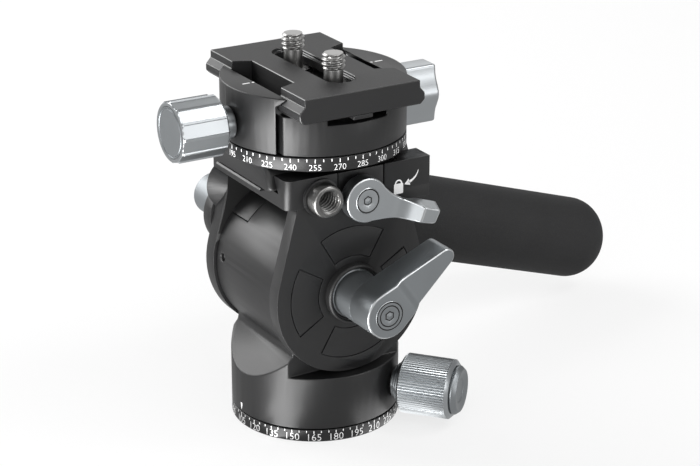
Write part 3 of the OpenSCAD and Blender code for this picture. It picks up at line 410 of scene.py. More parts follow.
@dataclass(frozen=True)
class TurnedFinish(Surface):
    """A lathe-turned metal finish with fine rings round its own axis."""

    roughness: float
    centre: tuple[float, float, float]
    axis: tuple[float, float, float]
    pitch: float = 0.12 * MM
    bump: float = 0.12
    tone: float = 0.2
    grain: float = 4000.0
    spread: float = 0.12

    def paint(self, graph: Graph, shader: bpy.types.Node) -> None:
        """Sets up the shader with grain and turning marks.

        Args:
            graph: the material's graph.
            shader: its shader node.
        """
        shader.inputs["Metallic"].default_value = 1.0
        values = {"Color": (*self.colour, 1.0), "Tone": self.tone, "Scale": self.grain,
                  "Roughness": self.roughness, "Spread": self.spread}
        skin = self.effect(graph, Effect.GRAIN, values)
        values = {"Centre": self.centre, "Axis": self.axis, "Pitch": self.pitch}
        rings = self.effect(graph, Effect.TURNED, values)
        self.join(graph, shader, skin.outputs["Color"], skin.outputs["Roughness"], rings.outputs["Height"],
                  self.bump)


# Black and dull finishes
# Each edge colour lightens the edges: partly wear, partly a painted highlight
BLACK = Finish("black_anodised", "body_black", (0.0068, 0.0068, 0.0071), 0.0, 0.42, edge=(0.05, 0.05, 0.052))
PLATE_BLACK = Finish("plate_black", "body_black", (0.009, 0.009, 0.0094), 0.0, 0.5, 0.42,
                     edge=(0.06, 0.06, 0.062), edge_amount=0.6, grain=3200.0, bump=0.12)
PLATE_EDGE = Finish("plate_edge", "body_black", (0.009, 0.009, 0.0093), 0.0, 0.26, tone=0.1, bump=0.0)
# Also the colour of the painted shade in the lever discs' grooves and sockets and on the far cheek's inner
# face
DARK = Finish("matte_dark", "inner_dark", (0.009, 0.009, 0.009), 0.0, 0.48, 0.4, edge=(0.035, 0.035, 0.036))
GRIP = Finish("foam_grip", "grip_black", (0.02, 0.02, 0.0206), 0.0, 0.72, 0.3, grain=2600.0, bump=0.3,
              foam=True)
PRINT = Finish("white_print", "body_black", (0.85, 0.85, 0.85), 0.0, 0.55, tone=0.1, bump=0.02)

# Grey and bright metal
SILVER = Finish("grey_blasted", "metal_silver", (0.275, 0.291, 0.302), 1.0, 0.42, edge=(0.6, 0.615, 0.625),
                tone=0.1)
BRIGHT = Finish("bright_blasted", "metal_silver", (0.4, 0.419, 0.432), 1.0, 0.32, edge=(0.7, 0.715, 0.725),
                edge_amount=0.45, tone=0.08, bump=0.03)
KNOB_GREY = Finish("knob_grey", "metal_silver", (0.26, 0.275, 0.286), 1.0, 0.55, tone=0.1, bump=0.03)
# Painted reflection: the collar's metal is darkened to stand for the black housing that it reflects
SHADED_COLLAR = Finish("collar_painted_shade", "metal_silver", (0.13, 0.137, 0.142), 1.0, 0.36, tone=0.1, bump=0.03)
POLISH = Finish("polished_edge", "metal_silver", (0.6, 0.62, 0.632), 1.0, 0.3, tone=0.05, bump=0.0)
STEEL = Finish("machined_steel", "steel", (0.42, 0.417, 0.41), 1.0, 0.27, edge=(0.6, 0.595, 0.585), tone=0.12,
               bump=0.03)
INSERT = Finish("insert_steel", "steel", (0.2, 0.198, 0.194), 1.0, 0.3, tone=0.06, bump=0.01)
SCREW = Finish("screw_steel", "steel", (0.36, 0.357, 0.35), 1.0, 0.33, tone=0.06, bump=0.01)
BRONZE = Finish("bush_bronze", "bronze", (0.42, 0.28, 0.12), 1.0, 0.35, tone=0.2)


def node_middle(node: str) -> Vector:
    """Returns the middle of a CAD node's box."""
    low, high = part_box(node)
    return (low + high) / 2


def add_piece(name: str, mesh: bpy.types.Mesh, finish: Surface, body: str,
              replaced: Sequence[str] = ()) -> bpy.types.Object:
    """Puts a mesh into the scene as a piece.

    Args:
        name: the piece's name.
        mesh: its mesh, placed in the shared frame.
        finish: its finish.
        body: the CAD body that it rides on.
        replaced: CAD nodes that it stands for.

    Returns:
        The new object.
    """
    piece = bpy.data.objects.new(name, mesh)
    bpy.context.scene.collection.objects.link(piece)
    mesh.materials.clear()
    mesh.materials.append(finish.material())
    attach(piece, body)
    if replaced:
        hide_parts(*replaced)
    LOG.info("%s: %d faces on %s", name, len(mesh.polygons), body)
    return piece


def carry(nodes: Iterable[str], finish: Surface) -> None:
    """Gives CAD nodes that keep their own mesh a finish.

    Args:
        nodes: the nodes' names.
        finish: the finish.
    """
    for node in nodes:
        mesh = frame["nodes"][node].data
        mesh.materials.clear()
        mesh.materials.append(finish.material())


def smooth(mesh: bpy.types.Mesh, angle: float) -> None:
    """Shades a mesh smooth up to an angle between faces, in degrees."""
    mesh.shade_smooth()
    mesh.set_sharp_from_angle(angle=math.radians(angle))


def reaches_past(piece: bpy.types.Object, node: str, margin: float = 0.02 * MM) -> bool:
    """Tells whether a piece, with its modifiers, stands out of a CAD node's box.

    Args:
        piece: the piece.
        node: the CAD node.
        margin: how far it may stand out.

    Returns:
        Whether it stands out further.
    """
    low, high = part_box(node)
    shown = piece.evaluated_get(bpy.context.evaluated_depsgraph_get())
    corners = [Vector(corner) for corner in shown.bound_box]
    return any(c[i] < low[i] - margin or c[i] > high[i] + margin for c in corners for i in range(3))


def break_edges(piece: bpy.types.Object, name: str, width: float, segments: int, angle: float,
                polish: Optional[Finish] = None) -> bpy.types.Modifier:
    """Rounds a piece's edges that are sharper than an angle in degrees.

    Args:
        piece: the piece.
        name: the modifier's name.
        width: width of the broken edge, in metres.
        segments: faces across it.
        angle: edges sharper than this are broken.
        polish: the finish of the broken edges, where they have their own.

    Returns:
        The modifier.
    """
    bevel = piece.modifiers.new(name, "BEVEL")
    bevel.width = width
    bevel.segments = segments
    bevel.limit_method = "ANGLE"
    bevel.angle_limit = math.radians(angle)
    bevel.use_clamp_overlap = False
    bevel.harden_normals = True
    if polish:
        piece.data.materials.append(polish.material())
        bevel.material = len(piece.data.materials) - 1
    return bevel


def clean_copy(node: str, corners: Optional[EdgeRadius]) -> bpy.types.Mesh:
    """Copies a CAD node's mesh with its flat faces joined and some of its edges rounded.

    Args:
        node: the CAD node.
        corners: gives the radius of an edge that is rounded more than the rest, from its two ends, or 0.

    Returns:
        The new mesh.
    """
    mesh = frame["nodes"][node].data.copy()
    shape = bmesh.new()
    shape.from_mesh(mesh)
    bmesh.ops.remove_doubles(shape, verts=shape.verts, dist=MERGE_DISTANCE)
    flat = math.radians(FLAT_ANGLE)
    bmesh.ops.dissolve_limit(shape, angle_limit=flat, verts=shape.verts, edges=shape.edges)
    bmesh.ops.recalc_face_normals(shape, faces=shape.faces)
    if corners:
        chosen = [(edge, corners(edge.verts[0].co, edge.verts[1].co)) for edge in shape.edges]
        for radius in {reach for edge, reach in chosen if reach > 0}:
            edges = [edge for edge, reach in chosen if reach == radius and edge.is_valid]
            bmesh.ops.bevel(shape, geom=edges, offset=radius, segments=CORNER_STEPS, profile=0.5,
                            affect="EDGES", clamp_overlap=True)
    shape.to_mesh(mesh)
    shape.free()
    mesh.shade_smooth()
    return mesh


def soften(node: str, width: float, finish: Surface, segments: int = 3, chamfer: float = 0.0,
           corners: Optional[EdgeRadius] = None, polish: Optional[Finish] = None) -> None:
    """Stands a piece with broken edges in for a CAD node.

    Args:
        node: the CAD node.
        width: width of the broken edge, in metres.
        finish: the piece's finish.
        segments: faces across the broken edge.
        chamfer: width of a flat chamfer that is cut before the edges are broken.
        corners: gives the radius of an edge that is rounded more than the rest, from its two ends, or 0.
        polish: the chamfer's own finish.
    """
    body = frame["nodes"][node]["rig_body"]
    piece = add_piece(node + "_finished", clean_copy(node, corners), finish, body, [node])
    bevels = [break_edges(piece, "chamfer", chamfer, 1, CAD_EDGE_ANGLE, polish)] if chamfer else []
    bevels.append(break_edges(piece, "broken_edges", width, segments, CAD_EDGE_ANGLE))
    if chamfer:
        piece.modifiers.new("even_faces", "WEIGHTED_NORMAL").keep_sharp = True
    bpy.context.view_layer.update()
    if reaches_past(piece, node):
        LOG.warning("%s: edges held back", piece.name)
        for bevel in bevels:
            bevel.use_clamp_overlap = True


def in_mm(points: Iterable[tuple[float, float]]) -> Outline:
    """Returns points that are given in millimetres, in metres."""
    return [(u * MM, v * MM) for u, v in points]


def ease(share: float) -> float:
    """Returns a smooth rise from 0 to 1."""
    share = min(1.0, max(0.0, share))
    return share * share * (3 - 2 * share)


def bent_point(start: Vector, corner: Vector, end: Vector, share: float) -> Vector:
    """Returns a point on the curve from start to end that a corner pulls out."""
    return start * (1 - share) ** 2 + corner * 2 * share * (1 - share) + end * share ** 2


def rounded(points: Sequence[tuple[float, float]], radius: float, steps: int = 4,
            closed: bool = False) -> Outline:
    """Rounds the corners of a line of points.

    Args:
        points: the corners.
        radius: how far each corner is cut back along its sides, at most.
        steps: points on each rounded corner.
        closed: whether the line runs back to its start.

    Returns:
        The rounded line.
    """
    most = 0.48
    spots = [Vector(p) for p in points]
    count = len(spots)
    line: Outline = []
    for index, spot in enumerate(spots):
        if not closed and index in (0, count - 1):
            line.append(tuple(spot))
            continue
        before = spots[index - 1] - spot
        after = spots[(index + 1) % count] - spot
        cut = min(radius, most * before.length, most * after.length)
        start = spot + before.normalized() * cut
        end = spot + after.normalized() * cut
        line += [tuple(bent_point(start, spot, end, step / steps)) for step in range(steps + 1)]
    return line


@dataclass(frozen=True)
class Lathe:
    """An axis that pieces are turned round."""

    origin: Vector
    axis: Vector

    def basis(self) -> tuple[Vector, Vector, Vector]:
        """Returns the axis and two directions square to it."""
        axis = self.axis.normalized()
        side = UPWARDS if abs(axis.z) < 0.9 else ALONG_X
        first = (side - axis * side.dot(axis)).normalized()
        return axis, first, axis.cross(first)

    def turn(self, name: str, profile: Profile, segments: int = ROUND_FACES,
             ripple: Optional[Ripple] = None, sharp: float = 40.0) -> bpy.types.Mesh:
        """Turns a profile into a closed mesh.

        Args:
            name: the mesh's name.
            profile: points of place along the axis and radius; a radius of 0 closes an end.
            segments: faces round the axis.
            ripple: gives the radius from place, radius and angle, where the surface isn't round.
            sharp: edges sharper than this many degrees stay crisp.

        Returns:
            The mesh.
        """
        axis, first, second = self.basis()
        shape = bmesh.new()
        rings = []
        for place, radius in profile:
            centre = self.origin + axis * place
            if radius <= 0:
                rings.append([shape.verts.new(centre)])
                continue
            ring = []
            for index in range(segments):
                angle = FULL_TURN * index / segments
                reach = ripple(place, radius, angle) if ripple else radius
                way = first * math.cos(angle) + second * math.sin(angle)
                ring.append(shape.verts.new(centre + way * reach))
            rings.append(ring)
        pairs = list(zip(rings, rings[1:]))
        if len(rings[0]) > 1:
            pairs.append((rings[-1], rings[0]))
        for near, far in pairs:
            for index in range(segments):
                after = (index + 1) % segments
                corners = [near[index % len(near)], near[after % len(near)], far[after % len(far)],
                           far[index % len(far)]]
                kept = [c for i, c in enumerate(corners) if c not in corners[:i]]
                if len(kept) > 2:
                    shape.faces.new(kept)
        bmesh.ops.recalc_face_normals(shape, faces=shape.faces)
        mesh = bpy.data.meshes.new(name)
        shape.to_mesh(mesh)
        shape.free()
        smooth(mesh, sharp)
        return mesh


def prism(name: str, outline: Outline, place: Placement, depth: float) -> bpy.types.Mesh:
    """Thickens a flat outline into a closed mesh.

    Args:
        name: the mesh's name.
        outline: the flat outline's points.
        place: puts a point of the outline, and its depth, into the shared frame.
        depth: the thickness.

    Returns:
        The mesh.
    """
    shape = bmesh.new()
    low = [shape.verts.new(place(u, v, 0.0)) for u, v in outline]
    high = [shape.verts.new(place(u, v, depth)) for u, v in outline]
    shape.faces.new(low[::-1])
    shape.faces.new(high)
    for index in range(len(outline)):
        after = (index + 1) % len(outline)
        shape.faces.new([low[index], low[after], high[after], high[index]])
    bmesh.ops.recalc_face_normals(shape, faces=shape.faces)
    mesh = bpy.data.meshes.new(name)
    shape.to_mesh(mesh)
    shape.free()
    return mesh


def join_meshes(name: str, meshes: Iterable[bpy.types.Mesh]) -> bpy.types.Mesh:
    """Joins meshes into one.

    Args:
        name: the new mesh's name.
        meshes: the meshes, which are used up.

    Returns:
        The new mesh.
    """
    shape = bmesh.new()
    for mesh in meshes:
        shape.from_mesh(mesh)
        bpy.data.meshes.remove(mesh)
    joined = bpy.data.meshes.new(name)
    shape.to_mesh(joined)
    shape.free()
    return joined


def on_x_plane(x: float) -> Placement:
    """Returns what puts flat points onto a plane square to X, with u along Y and v upwards.

    Args:
        x: where the plane stands.

    Returns:
        The placement.
    """

    def place(u: float, v: float, depth: float) -> Vector:
        """Puts one point onto the plane."""
        return Vector((x + depth, u, v))

    return place


def on_ring(radius: float, low: float, angle: float) -> Placement:
    """Returns what wraps flat points round an upright ring.

    Args:
        radius: the ring's outer radius.
        low: the height that flat points are measured from.
        angle: where the middle of the flat points goes, in degrees from +X towards +Y.

    Returns:
        The placement.
    """

    def place(u: float, v: float, depth: float) -> Vector:
        """Wraps one point round the ring.

        Args:
            u: place along the ring.
            v: height.
            depth: place out from under the ring's surface.

        Returns:
            The point.
        """
        turn = math.radians(angle) + u / radius
        reach = radius - PRINT_RISE / 2 + depth
        return Vector((reach * math.cos(turn), reach * math.sin(turn), low + v))

    return place


@dataclass(frozen=True)
class Swell:
    """A smooth growth along a bar, from nothing to an amount."""

    amount: float
    start: float
    length: float

    def at(self, along: float) -> float:
        """Returns the growth at a place along the bar."""
        return self.amount * ease((along - self.start) / self.length)

    def cuts(self, count: int) -> list[float]:
        """Returns even places along the growth."""
        return [self.start + self.length * i / count for i in range(count + 1)]


@dataclass(frozen=True)
class LeverBar:
    """A lever's bar with its outline square to the X axis, whose two faces bend along its length."""

    pivot: Vector
    angle: float
    back: float
    front: float

    def place(self, along: float, across: float, depth: float) -> Vector:
        """Puts a point of the outline into the shared frame.

        Args:
            along: place along the bar, from the pivot.
            across: place across the bar.
            depth: place from the bar's back towards its front.

        Returns:
            The point.
        """
        turn = math.radians(self.angle)
        y = self.pivot.y + along * math.cos(turn) - across * math.sin(turn)
        z = self.pivot.z + along * math.sin(turn) + across * math.cos(turn)
        return Vector((self.back + depth, y, z))

    def mesh(self, name: str, outline: Outline, cuts: Sequence[float], front_shift: Shift,
             back_shift: Optional[Shift] = None, tip_reach: Optional[Shift] = None,
             tip_width: Optional[Shift] = None) -> bpy.types.Mesh:
        """Returns the bar's mesh.

        Args:
            name: the mesh's name.
            outline: points of place along the bar and across it, from the pivot.
            cuts: places along the bar where its faces may bend.
            front_shift: how far the front face stands out at a place along the bar.
            back_shift: the same for the back face.
            tip_reach: how far the back reaches on along the bar, at a place along it.
            tip_width: how far the back's upper side reaches on across the bar.

        Returns:
            The mesh.
        """
        flat = prism(name, outline, self.place, self.front - self.back)
        start = self.place(0.0, 0.0, 0.0)
        way = self.place(1.0, 0.0, 0.0) - start
        side = self.place(0.0, 1.0, 0.0) - start
        shape = bmesh.new()
        shape.from_mesh(flat)
        for cut in cuts:
            everything = [*shape.verts, *shape.edges, *shape.faces]
            spot = start + way * cut
            bmesh.ops.bisect_plane(shape, geom=everything, dist=1e-7, plane_co=spot, plane_no=way)
        middle = (self.back + self.front) / 2
        for vertex in shape.verts:
            along = (vertex.co - start).dot(way)
            upper = (vertex.co - start).dot(side) > 0
            if vertex.co.x > middle:
                vertex.co.x += front_shift(along)
                continue
            if back_shift:
                vertex.co.x += back_shift(along)
            if tip_reach:
                vertex.co += way * tip_reach(along)
            if tip_width and upper:
                vertex.co += side * tip_width(along)
        bmesh.ops.recalc_face_normals(shape, faces=shape.faces)
        shape.to_mesh(flat)
        shape.free()
        flat.shade_smooth()
        return flat


def link_outline(big: float, small: float, length: float, steps: int = 20) -> Outline:
    """Returns the outline round a big circle and a small one that stands off along the bar.

    Args:
        big: the radius of the circle at the pivot.
        small: the radius of the circle at the tip.
        length: how far apart their middles are.
        steps: points on each round end.

    Returns:
        The outline.
    """
    lean = math.acos((big - small) / length)
    ends = ((0.0, big, lean, FULL_TURN - lean), (length, small, -lean, lean))
    line: Outline = []
    for middle, radius, first, last in ends:
        for step in range(steps + 1):
            angle = first + (last - first) * step / steps
            line.append((middle + radius * math.cos(angle), radius * math.sin(angle)))
    return line


@dataclass(frozen=True)
class SocketDisc:
    """A turned disc with ring grooves and a hexagon socket in its face, which ends in a six-sided point."""

    lathe: Lathe
    face: float
    radius: float
    grooves: tuple[float, ...]
    socket_r: float
    depth: float = 2.0 * MM
    groove_w: float = 0.42 * MM
    edge: float = 0.12 * MM
    lip: float = 0.04 * MM
    socket_share: float = 0.4
    socket_rim: float = 1.2
    shade_low: float = 0.16 * MM
    shade_top: float = 0.1 * MM
    star_share: float = 0.72
    star_low: float = 0.14 * MM
    star_edge: float = 0.06 * MM
    star_h: float = 0.4 * MM
    star_sharp: float = 8.0
    sharp: float = 30.0

    def hexagon(self, place: float, reach: float, angle: float) -> float:
        """Returns the radius of the socket's six flats, where the profile is in the socket.

        Args:
            place: place along the axis.
            reach: the profile's radius there.
            angle: the angle round the axis.

        Returns:
            The radius.
        """
        if reach > self.socket_r:
            return reach
        sixth = FULL_TURN / 6
        return reach * math.cos(sixth / 2) / math.cos(angle % sixth - sixth / 2)

    def mesh(self, name: str) -> bpy.types.Mesh:
        """Returns the mesh of the disc.

        Args:
            name: the mesh's name.

        Returns:
            The mesh.
        """
        face, edge, deep = self.face, self.edge, self.depth * self.socket_share
        low, half = face - self.groove_w * 3, self.groove_w / 2
        profile = [(face - self.depth, 0.0), (face - self.depth, self.radius), (face - edge, self.radius),
                   (face, self.radius - edge)]
        for groove in self.grooves:
            outer, inner = groove + half, groove - half
            profile += [(face, outer), (low, outer - self.lip), (low, inner + self.lip), (face, inner)]
        rim = self.socket_r * self.socket_rim
        profile += [(face, rim), (face - edge, self.socket_r), (face - deep, self.socket_r),
                    (face - deep - deep, 0.0)]
        return self.lathe.turn(name, profile, SMALL_ROUND_FACES, self.hexagon, self.sharp)

    def shade(self, name: str) -> bpy.types.Mesh:
        """Returns painted shade: dark floors for the grooves and for the socket, just above the lever's own
        face.

        Args:
            name: the mesh's name.

        Returns:
            The mesh.
        """
        half, low, top = self.groove_w / 2, self.face - self.shade_low, self.face - self.shade_top
        meshes = []
        for groove in self.grooves:
            outer, inner = groove + half, groove - half
            ring = [(low, outer), (top, outer), (top, inner), (low, inner)]
            meshes.append(self.lathe.turn("ring", ring, SMALL_ROUND_FACES))
        floor = [(low, 0.0), (low, self.socket_r), (top, self.socket_r), (top, 0.0)]
        meshes.append(self.lathe.turn("floor", floor, 6))
        return join_meshes(name, meshes)

    def star(self, name: str) -> bpy.types.Mesh:
        """Returns the six-sided point in the middle of the socket.

        Args:
            name: the mesh's name.

        Returns:
            The mesh.
        """
        low, reach = self.face - self.star_low, self.socket_r * self.star_share
        point = [(low, 0.0), (low, reach), (low + self.star_edge, reach), (low + self.star_h, 0.0)]
        return self.lathe.turn(name, point, 6, sharp=self.star_sharp)

    def fit(self, name: str, finish: Finish, body: str, node: str) -> None:
        """Puts the disc onto a lever, with painted shade in its grooves and socket and the point in its
        socket.

        Args:
            name: the disc's name.
            finish: its finish.
            body: the CAD body that it rides on.
            node: the CAD node that it stands for.
        """
        add_piece(name, self.mesh(name), finish, body, [node])
        # Painted shade: dark rings in the grooves and a dark floor in the socket
        add_piece(name + "_shade", self.shade(name + "_shade"), DARK, body)
        add_piece(name + "_star", self.star(name + "_star"), finish, body)


@dataclass(frozen=True)
class ScalePrint:
    """White numbers and ticks round a scale ring."""

    name: str
    ring: str
    body: str
    marked_label: int
    marked_angle: float
    figure_h: float
    figure_z: float
    tick_top: float
    tick_l: float
    long_tick_l: float
    tick_w: float = 0.24 * MM
    label_step: int = 15
    tick_step: int = 5
    thinner: float = -0.012

    def figures(self, text: str, place: Placement) -> bpy.types.Mesh:
        """Returns the mesh of one number on the ring.

        Args:
            text: the number's figures.
            place: wraps flat points round the ring.

        Returns:
            The mesh.
        """
        curve = bpy.data.curves.new("figures", "FONT")
        curve.body = text
        curve.align_x = "CENTER"
        curve.extrude = 0.5
        curve.offset = self.thinner
        curve.resolution_u = 3
        holder = bpy.data.objects.new("figures", curve)
        bpy.context.scene.collection.objects.link(holder)
        bpy.context.view_layer.update()
        shown = holder.evaluated_get(bpy.context.evaluated_depsgraph_get())
        mesh = bpy.data.meshes.new_from_object(shown)
        bpy.data.objects.remove(holder)
        bpy.data.curves.remove(curve)
        scale = self.figure_h / max(vertex.co.y for vertex in mesh.vertices)
        for vertex in mesh.vertices:
            deep = PRINT_RISE if vertex.co.z > 0 else 0.0
            vertex.co = place(vertex.co.x * scale, self.figure_z + vertex.co.y * scale, deep)
        return mesh

    def build(self) -> None:
        """Builds the ring's whole print as one piece."""
        low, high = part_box(self.ring)
        half, top = self.tick_w / 2, self.tick_top
        meshes = []
        for label in range(0, 360, self.tick_step):
            place = on_ring(high.x, low.z, self.marked_angle + label - self.marked_label)
            labelled = label % self.label_step == 0
            foot = top - (self.long_tick_l if labelled else self.tick_l)
            outline = [(-half, foot), (half, foot), (half, top), (-half, top)]
            meshes.append(prism("tick", outline, place, PRINT_RISE))
            if labelled:
                meshes.append(self.figures(str(label), place))
        add_piece(self.name, join_meshes(self.name, meshes), PRINT, self.body)


@dataclass(frozen=True)
class Thread:
    """A screw thread turned round an axis."""

    lathe: Lathe
    pitch: float
    around: int = SCREW_FACES
    per_pitch: int = 10
    root_share: float = 0.36
    flank_share: float = 0.52
    fade_share: float = 0.55
    tip_cut: float = 1.3
    core_share: float = 0.9
    bore_share: float = 1.02
    sharp: float = 50.0

    def wave(self, place: float, angle: float) -> float:
        """Returns the thread's height.

        Args:
            place: place along the axis.
            angle: the angle round it.

        Returns:
            The height, from 0 at a root to 1 at a crest.
        """
        turn = (place / self.pitch - angle / FULL_TURN) % 1.0
        rise = 1 - abs(2 * turn - 1)
        return min(1.0, max(0.0, (rise - self.root_share) / self.flank_share))

    def steps(self, start: float, end: float) -> list[float]:
        """Returns even places from start to end, close enough for the thread."""
        count = max(2, round((end - start) / self.pitch * self.per_pitch))
        return [start + (end - start) * i / count for i in range(count + 1)]

    def rod(self, name: str, start: float, end: float, radius: float, depth: float) -> bpy.types.Mesh:
        """Returns a threaded rod whose thread runs out at both ends.

        Args:
            name: the mesh's name.
            start: where the rod starts along the axis.
            end: where it ends.
            radius: the thread's outer radius.
            depth: the thread's depth.

        Returns:
            The mesh.
        """
        fade = self.pitch * self.fade_share

        def ripple(place: float, reach: float, angle: float) -> float:
            """Returns the radius with the thread cut into it.

            Args:
                place: place along the axis.
                reach: the profile's radius there.
                angle: the angle round the axis.

            Returns:
                The radius.
            """
            if reach < radius * self.core_share:
                return reach
            share = min(1.0, (place - start) / fade, (end - place) / fade)
            return radius - depth + depth * max(0.0, share) * self.wave(place, angle)

        profile = [(start, 0.0), (start, radius - depth)]
        profile += [(place, radius) for place in self.steps(start, end)]
        profile += [(end, radius - depth * self.tip_cut), (end, 0.0)]
        return self.lathe.turn(name, profile, self.around, ripple, self.sharp)

    def nut(self, name: str, start: float, end: float, outer: float, inner: float, depth: float,
            edge: float = 0.5 * MM) -> bpy.types.Mesh:
        """Returns a round bush with a thread inside it.

        Args:
            name: the mesh's name.
            start: where the bush starts along the axis.
            end: where it ends.
            outer: the bush's outer radius.
            inner: the thread's inner radius.
            depth: the thread's depth.
            edge: the chamfer at both ends.

        Returns:
            The mesh.
        """

        def ripple(place: float, reach: float, angle: float) -> float:
            """Returns the radius with the thread cut into the bore.

            Args:
                place: place along the axis.
                reach: the profile's radius there.
                angle: the angle round the axis.

            Returns:
                The radius.
            """
            if reach > inner * self.bore_share:
                return reach
            share = max(0.0, min(1.0, (place - start) / edge, (end - place) / edge))
            return inner + depth * (1 - share * self.wave(place, angle))

        profile = [(start, outer - edge), (start + edge, outer), (end - edge, outer), (end, outer - edge)]
        profile += [(place, inner) for place in reversed(self.steps(start, end))]
        return self.lathe.turn(name, profile, self.around, ripple, self.sharp)


@dataclass(frozen=True)
class Base:
    """The fixed base with the lower scale ring and the tripod thread."""

    edge: float = 0.3 * MM
    thread_pitch: float = 1.5875 * MM
    thread_r: float = 4.0 * MM
    thread_depth: float = 0.7 * MM
    scale: ScalePrint = ScalePrint(
        "lower_scale_print", "lower_scale_ring", "base", marked_label=165, marked_angle=-30.4,
        figure_h=2.0 * MM, figure_z=0.35 * MM, tick_top=3.3 * MM, tick_l=0.6 * MM, long_tick_l=0.85 * MM)

    def build(self) -> None:
        """Builds and dresses the base."""
        soften("lower_scale_ring", self.edge, BLACK)
        soften("base_plate", self.edge, BLACK)
        carry(["pan_spindle", "base_screws", "spindle_nut"], STEEL)
        low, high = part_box("tripod_bush")
        thread = Thread(Lathe(Vector((0, 0, 0)), UPWARDS), self.thread_pitch)
        mesh = thread.nut("tripod_bush_thread", low.z, high.z, high.x, self.thread_r, self.thread_depth)
        add_piece("tripod_bush_threaded", mesh, STEEL, "base", ["tripod_bush"])
        self.scale.build()


@dataclass(frozen=True)
class PanUnit:
    """The pan housing with its tilt drum."""

    edge: float = 0.35 * MM
    cover_edge: float = 0.12 * MM
    filler_groove_share: float = 0.82
    filler_socket_share: float = 0.45
    filler_groove_w: float = 0.1 * MM
    index_angle: float = -90.0
    index_tip: float = 0.1 * MM
    index_w: float = 1.0 * MM
    index_h: float = 2.0 * MM
    index_low: float = 4.45 * MM

    def build(self) -> None:
        """Builds and dresses the housing, the drum's cover and the index mark."""
        soften("pan_housing", self.edge, BLACK)
        soften("drum_cover", self.cover_edge, BLACK)
        carry(["drum_end_plate"], BLACK)
        carry(["pan_damper", "tilt_damper"], DARK)
        carry(["pan_bush", "tilt_bush_near", "tilt_bush_far", "pan_brake_shoe"], BRONZE)
        self.filler()
        self.index()

    def filler(self) -> None:
        """Builds the small socket screw that closes the drum's filler hole."""
        low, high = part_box("filler_screw")
        middle = node_middle("filler_screw")
        lathe = Lathe(Vector((middle.x, 0, middle.z)), -ALONG_Y)
        radius = (high.x - low.x) / 2
        grooves = (radius * self.filler_groove_share,)
        disc = SocketDisc(lathe, -low.y, radius, grooves, radius * self.filler_socket_share, high.y - low.y,
                          self.filler_groove_w)
        add_piece("filler_screw_socket", disc.mesh("filler_screw_socket"), DARK, "pan", ["filler_screw"])

    def index(self) -> None:
        """Builds the printed mark that the lower scale is read against."""
        place = on_ring(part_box("lower_scale_ring")[1].x, self.index_low, self.index_angle)
        tip, half = self.index_tip, self.index_w / 2
        outline = [(-tip, 0.0), (tip, 0.0), (half, self.index_h), (-half, self.index_h)]
        add_piece("pan_index_mark", prism("pan_index_mark", outline, place, PRINT_RISE), PRINT, "pan")


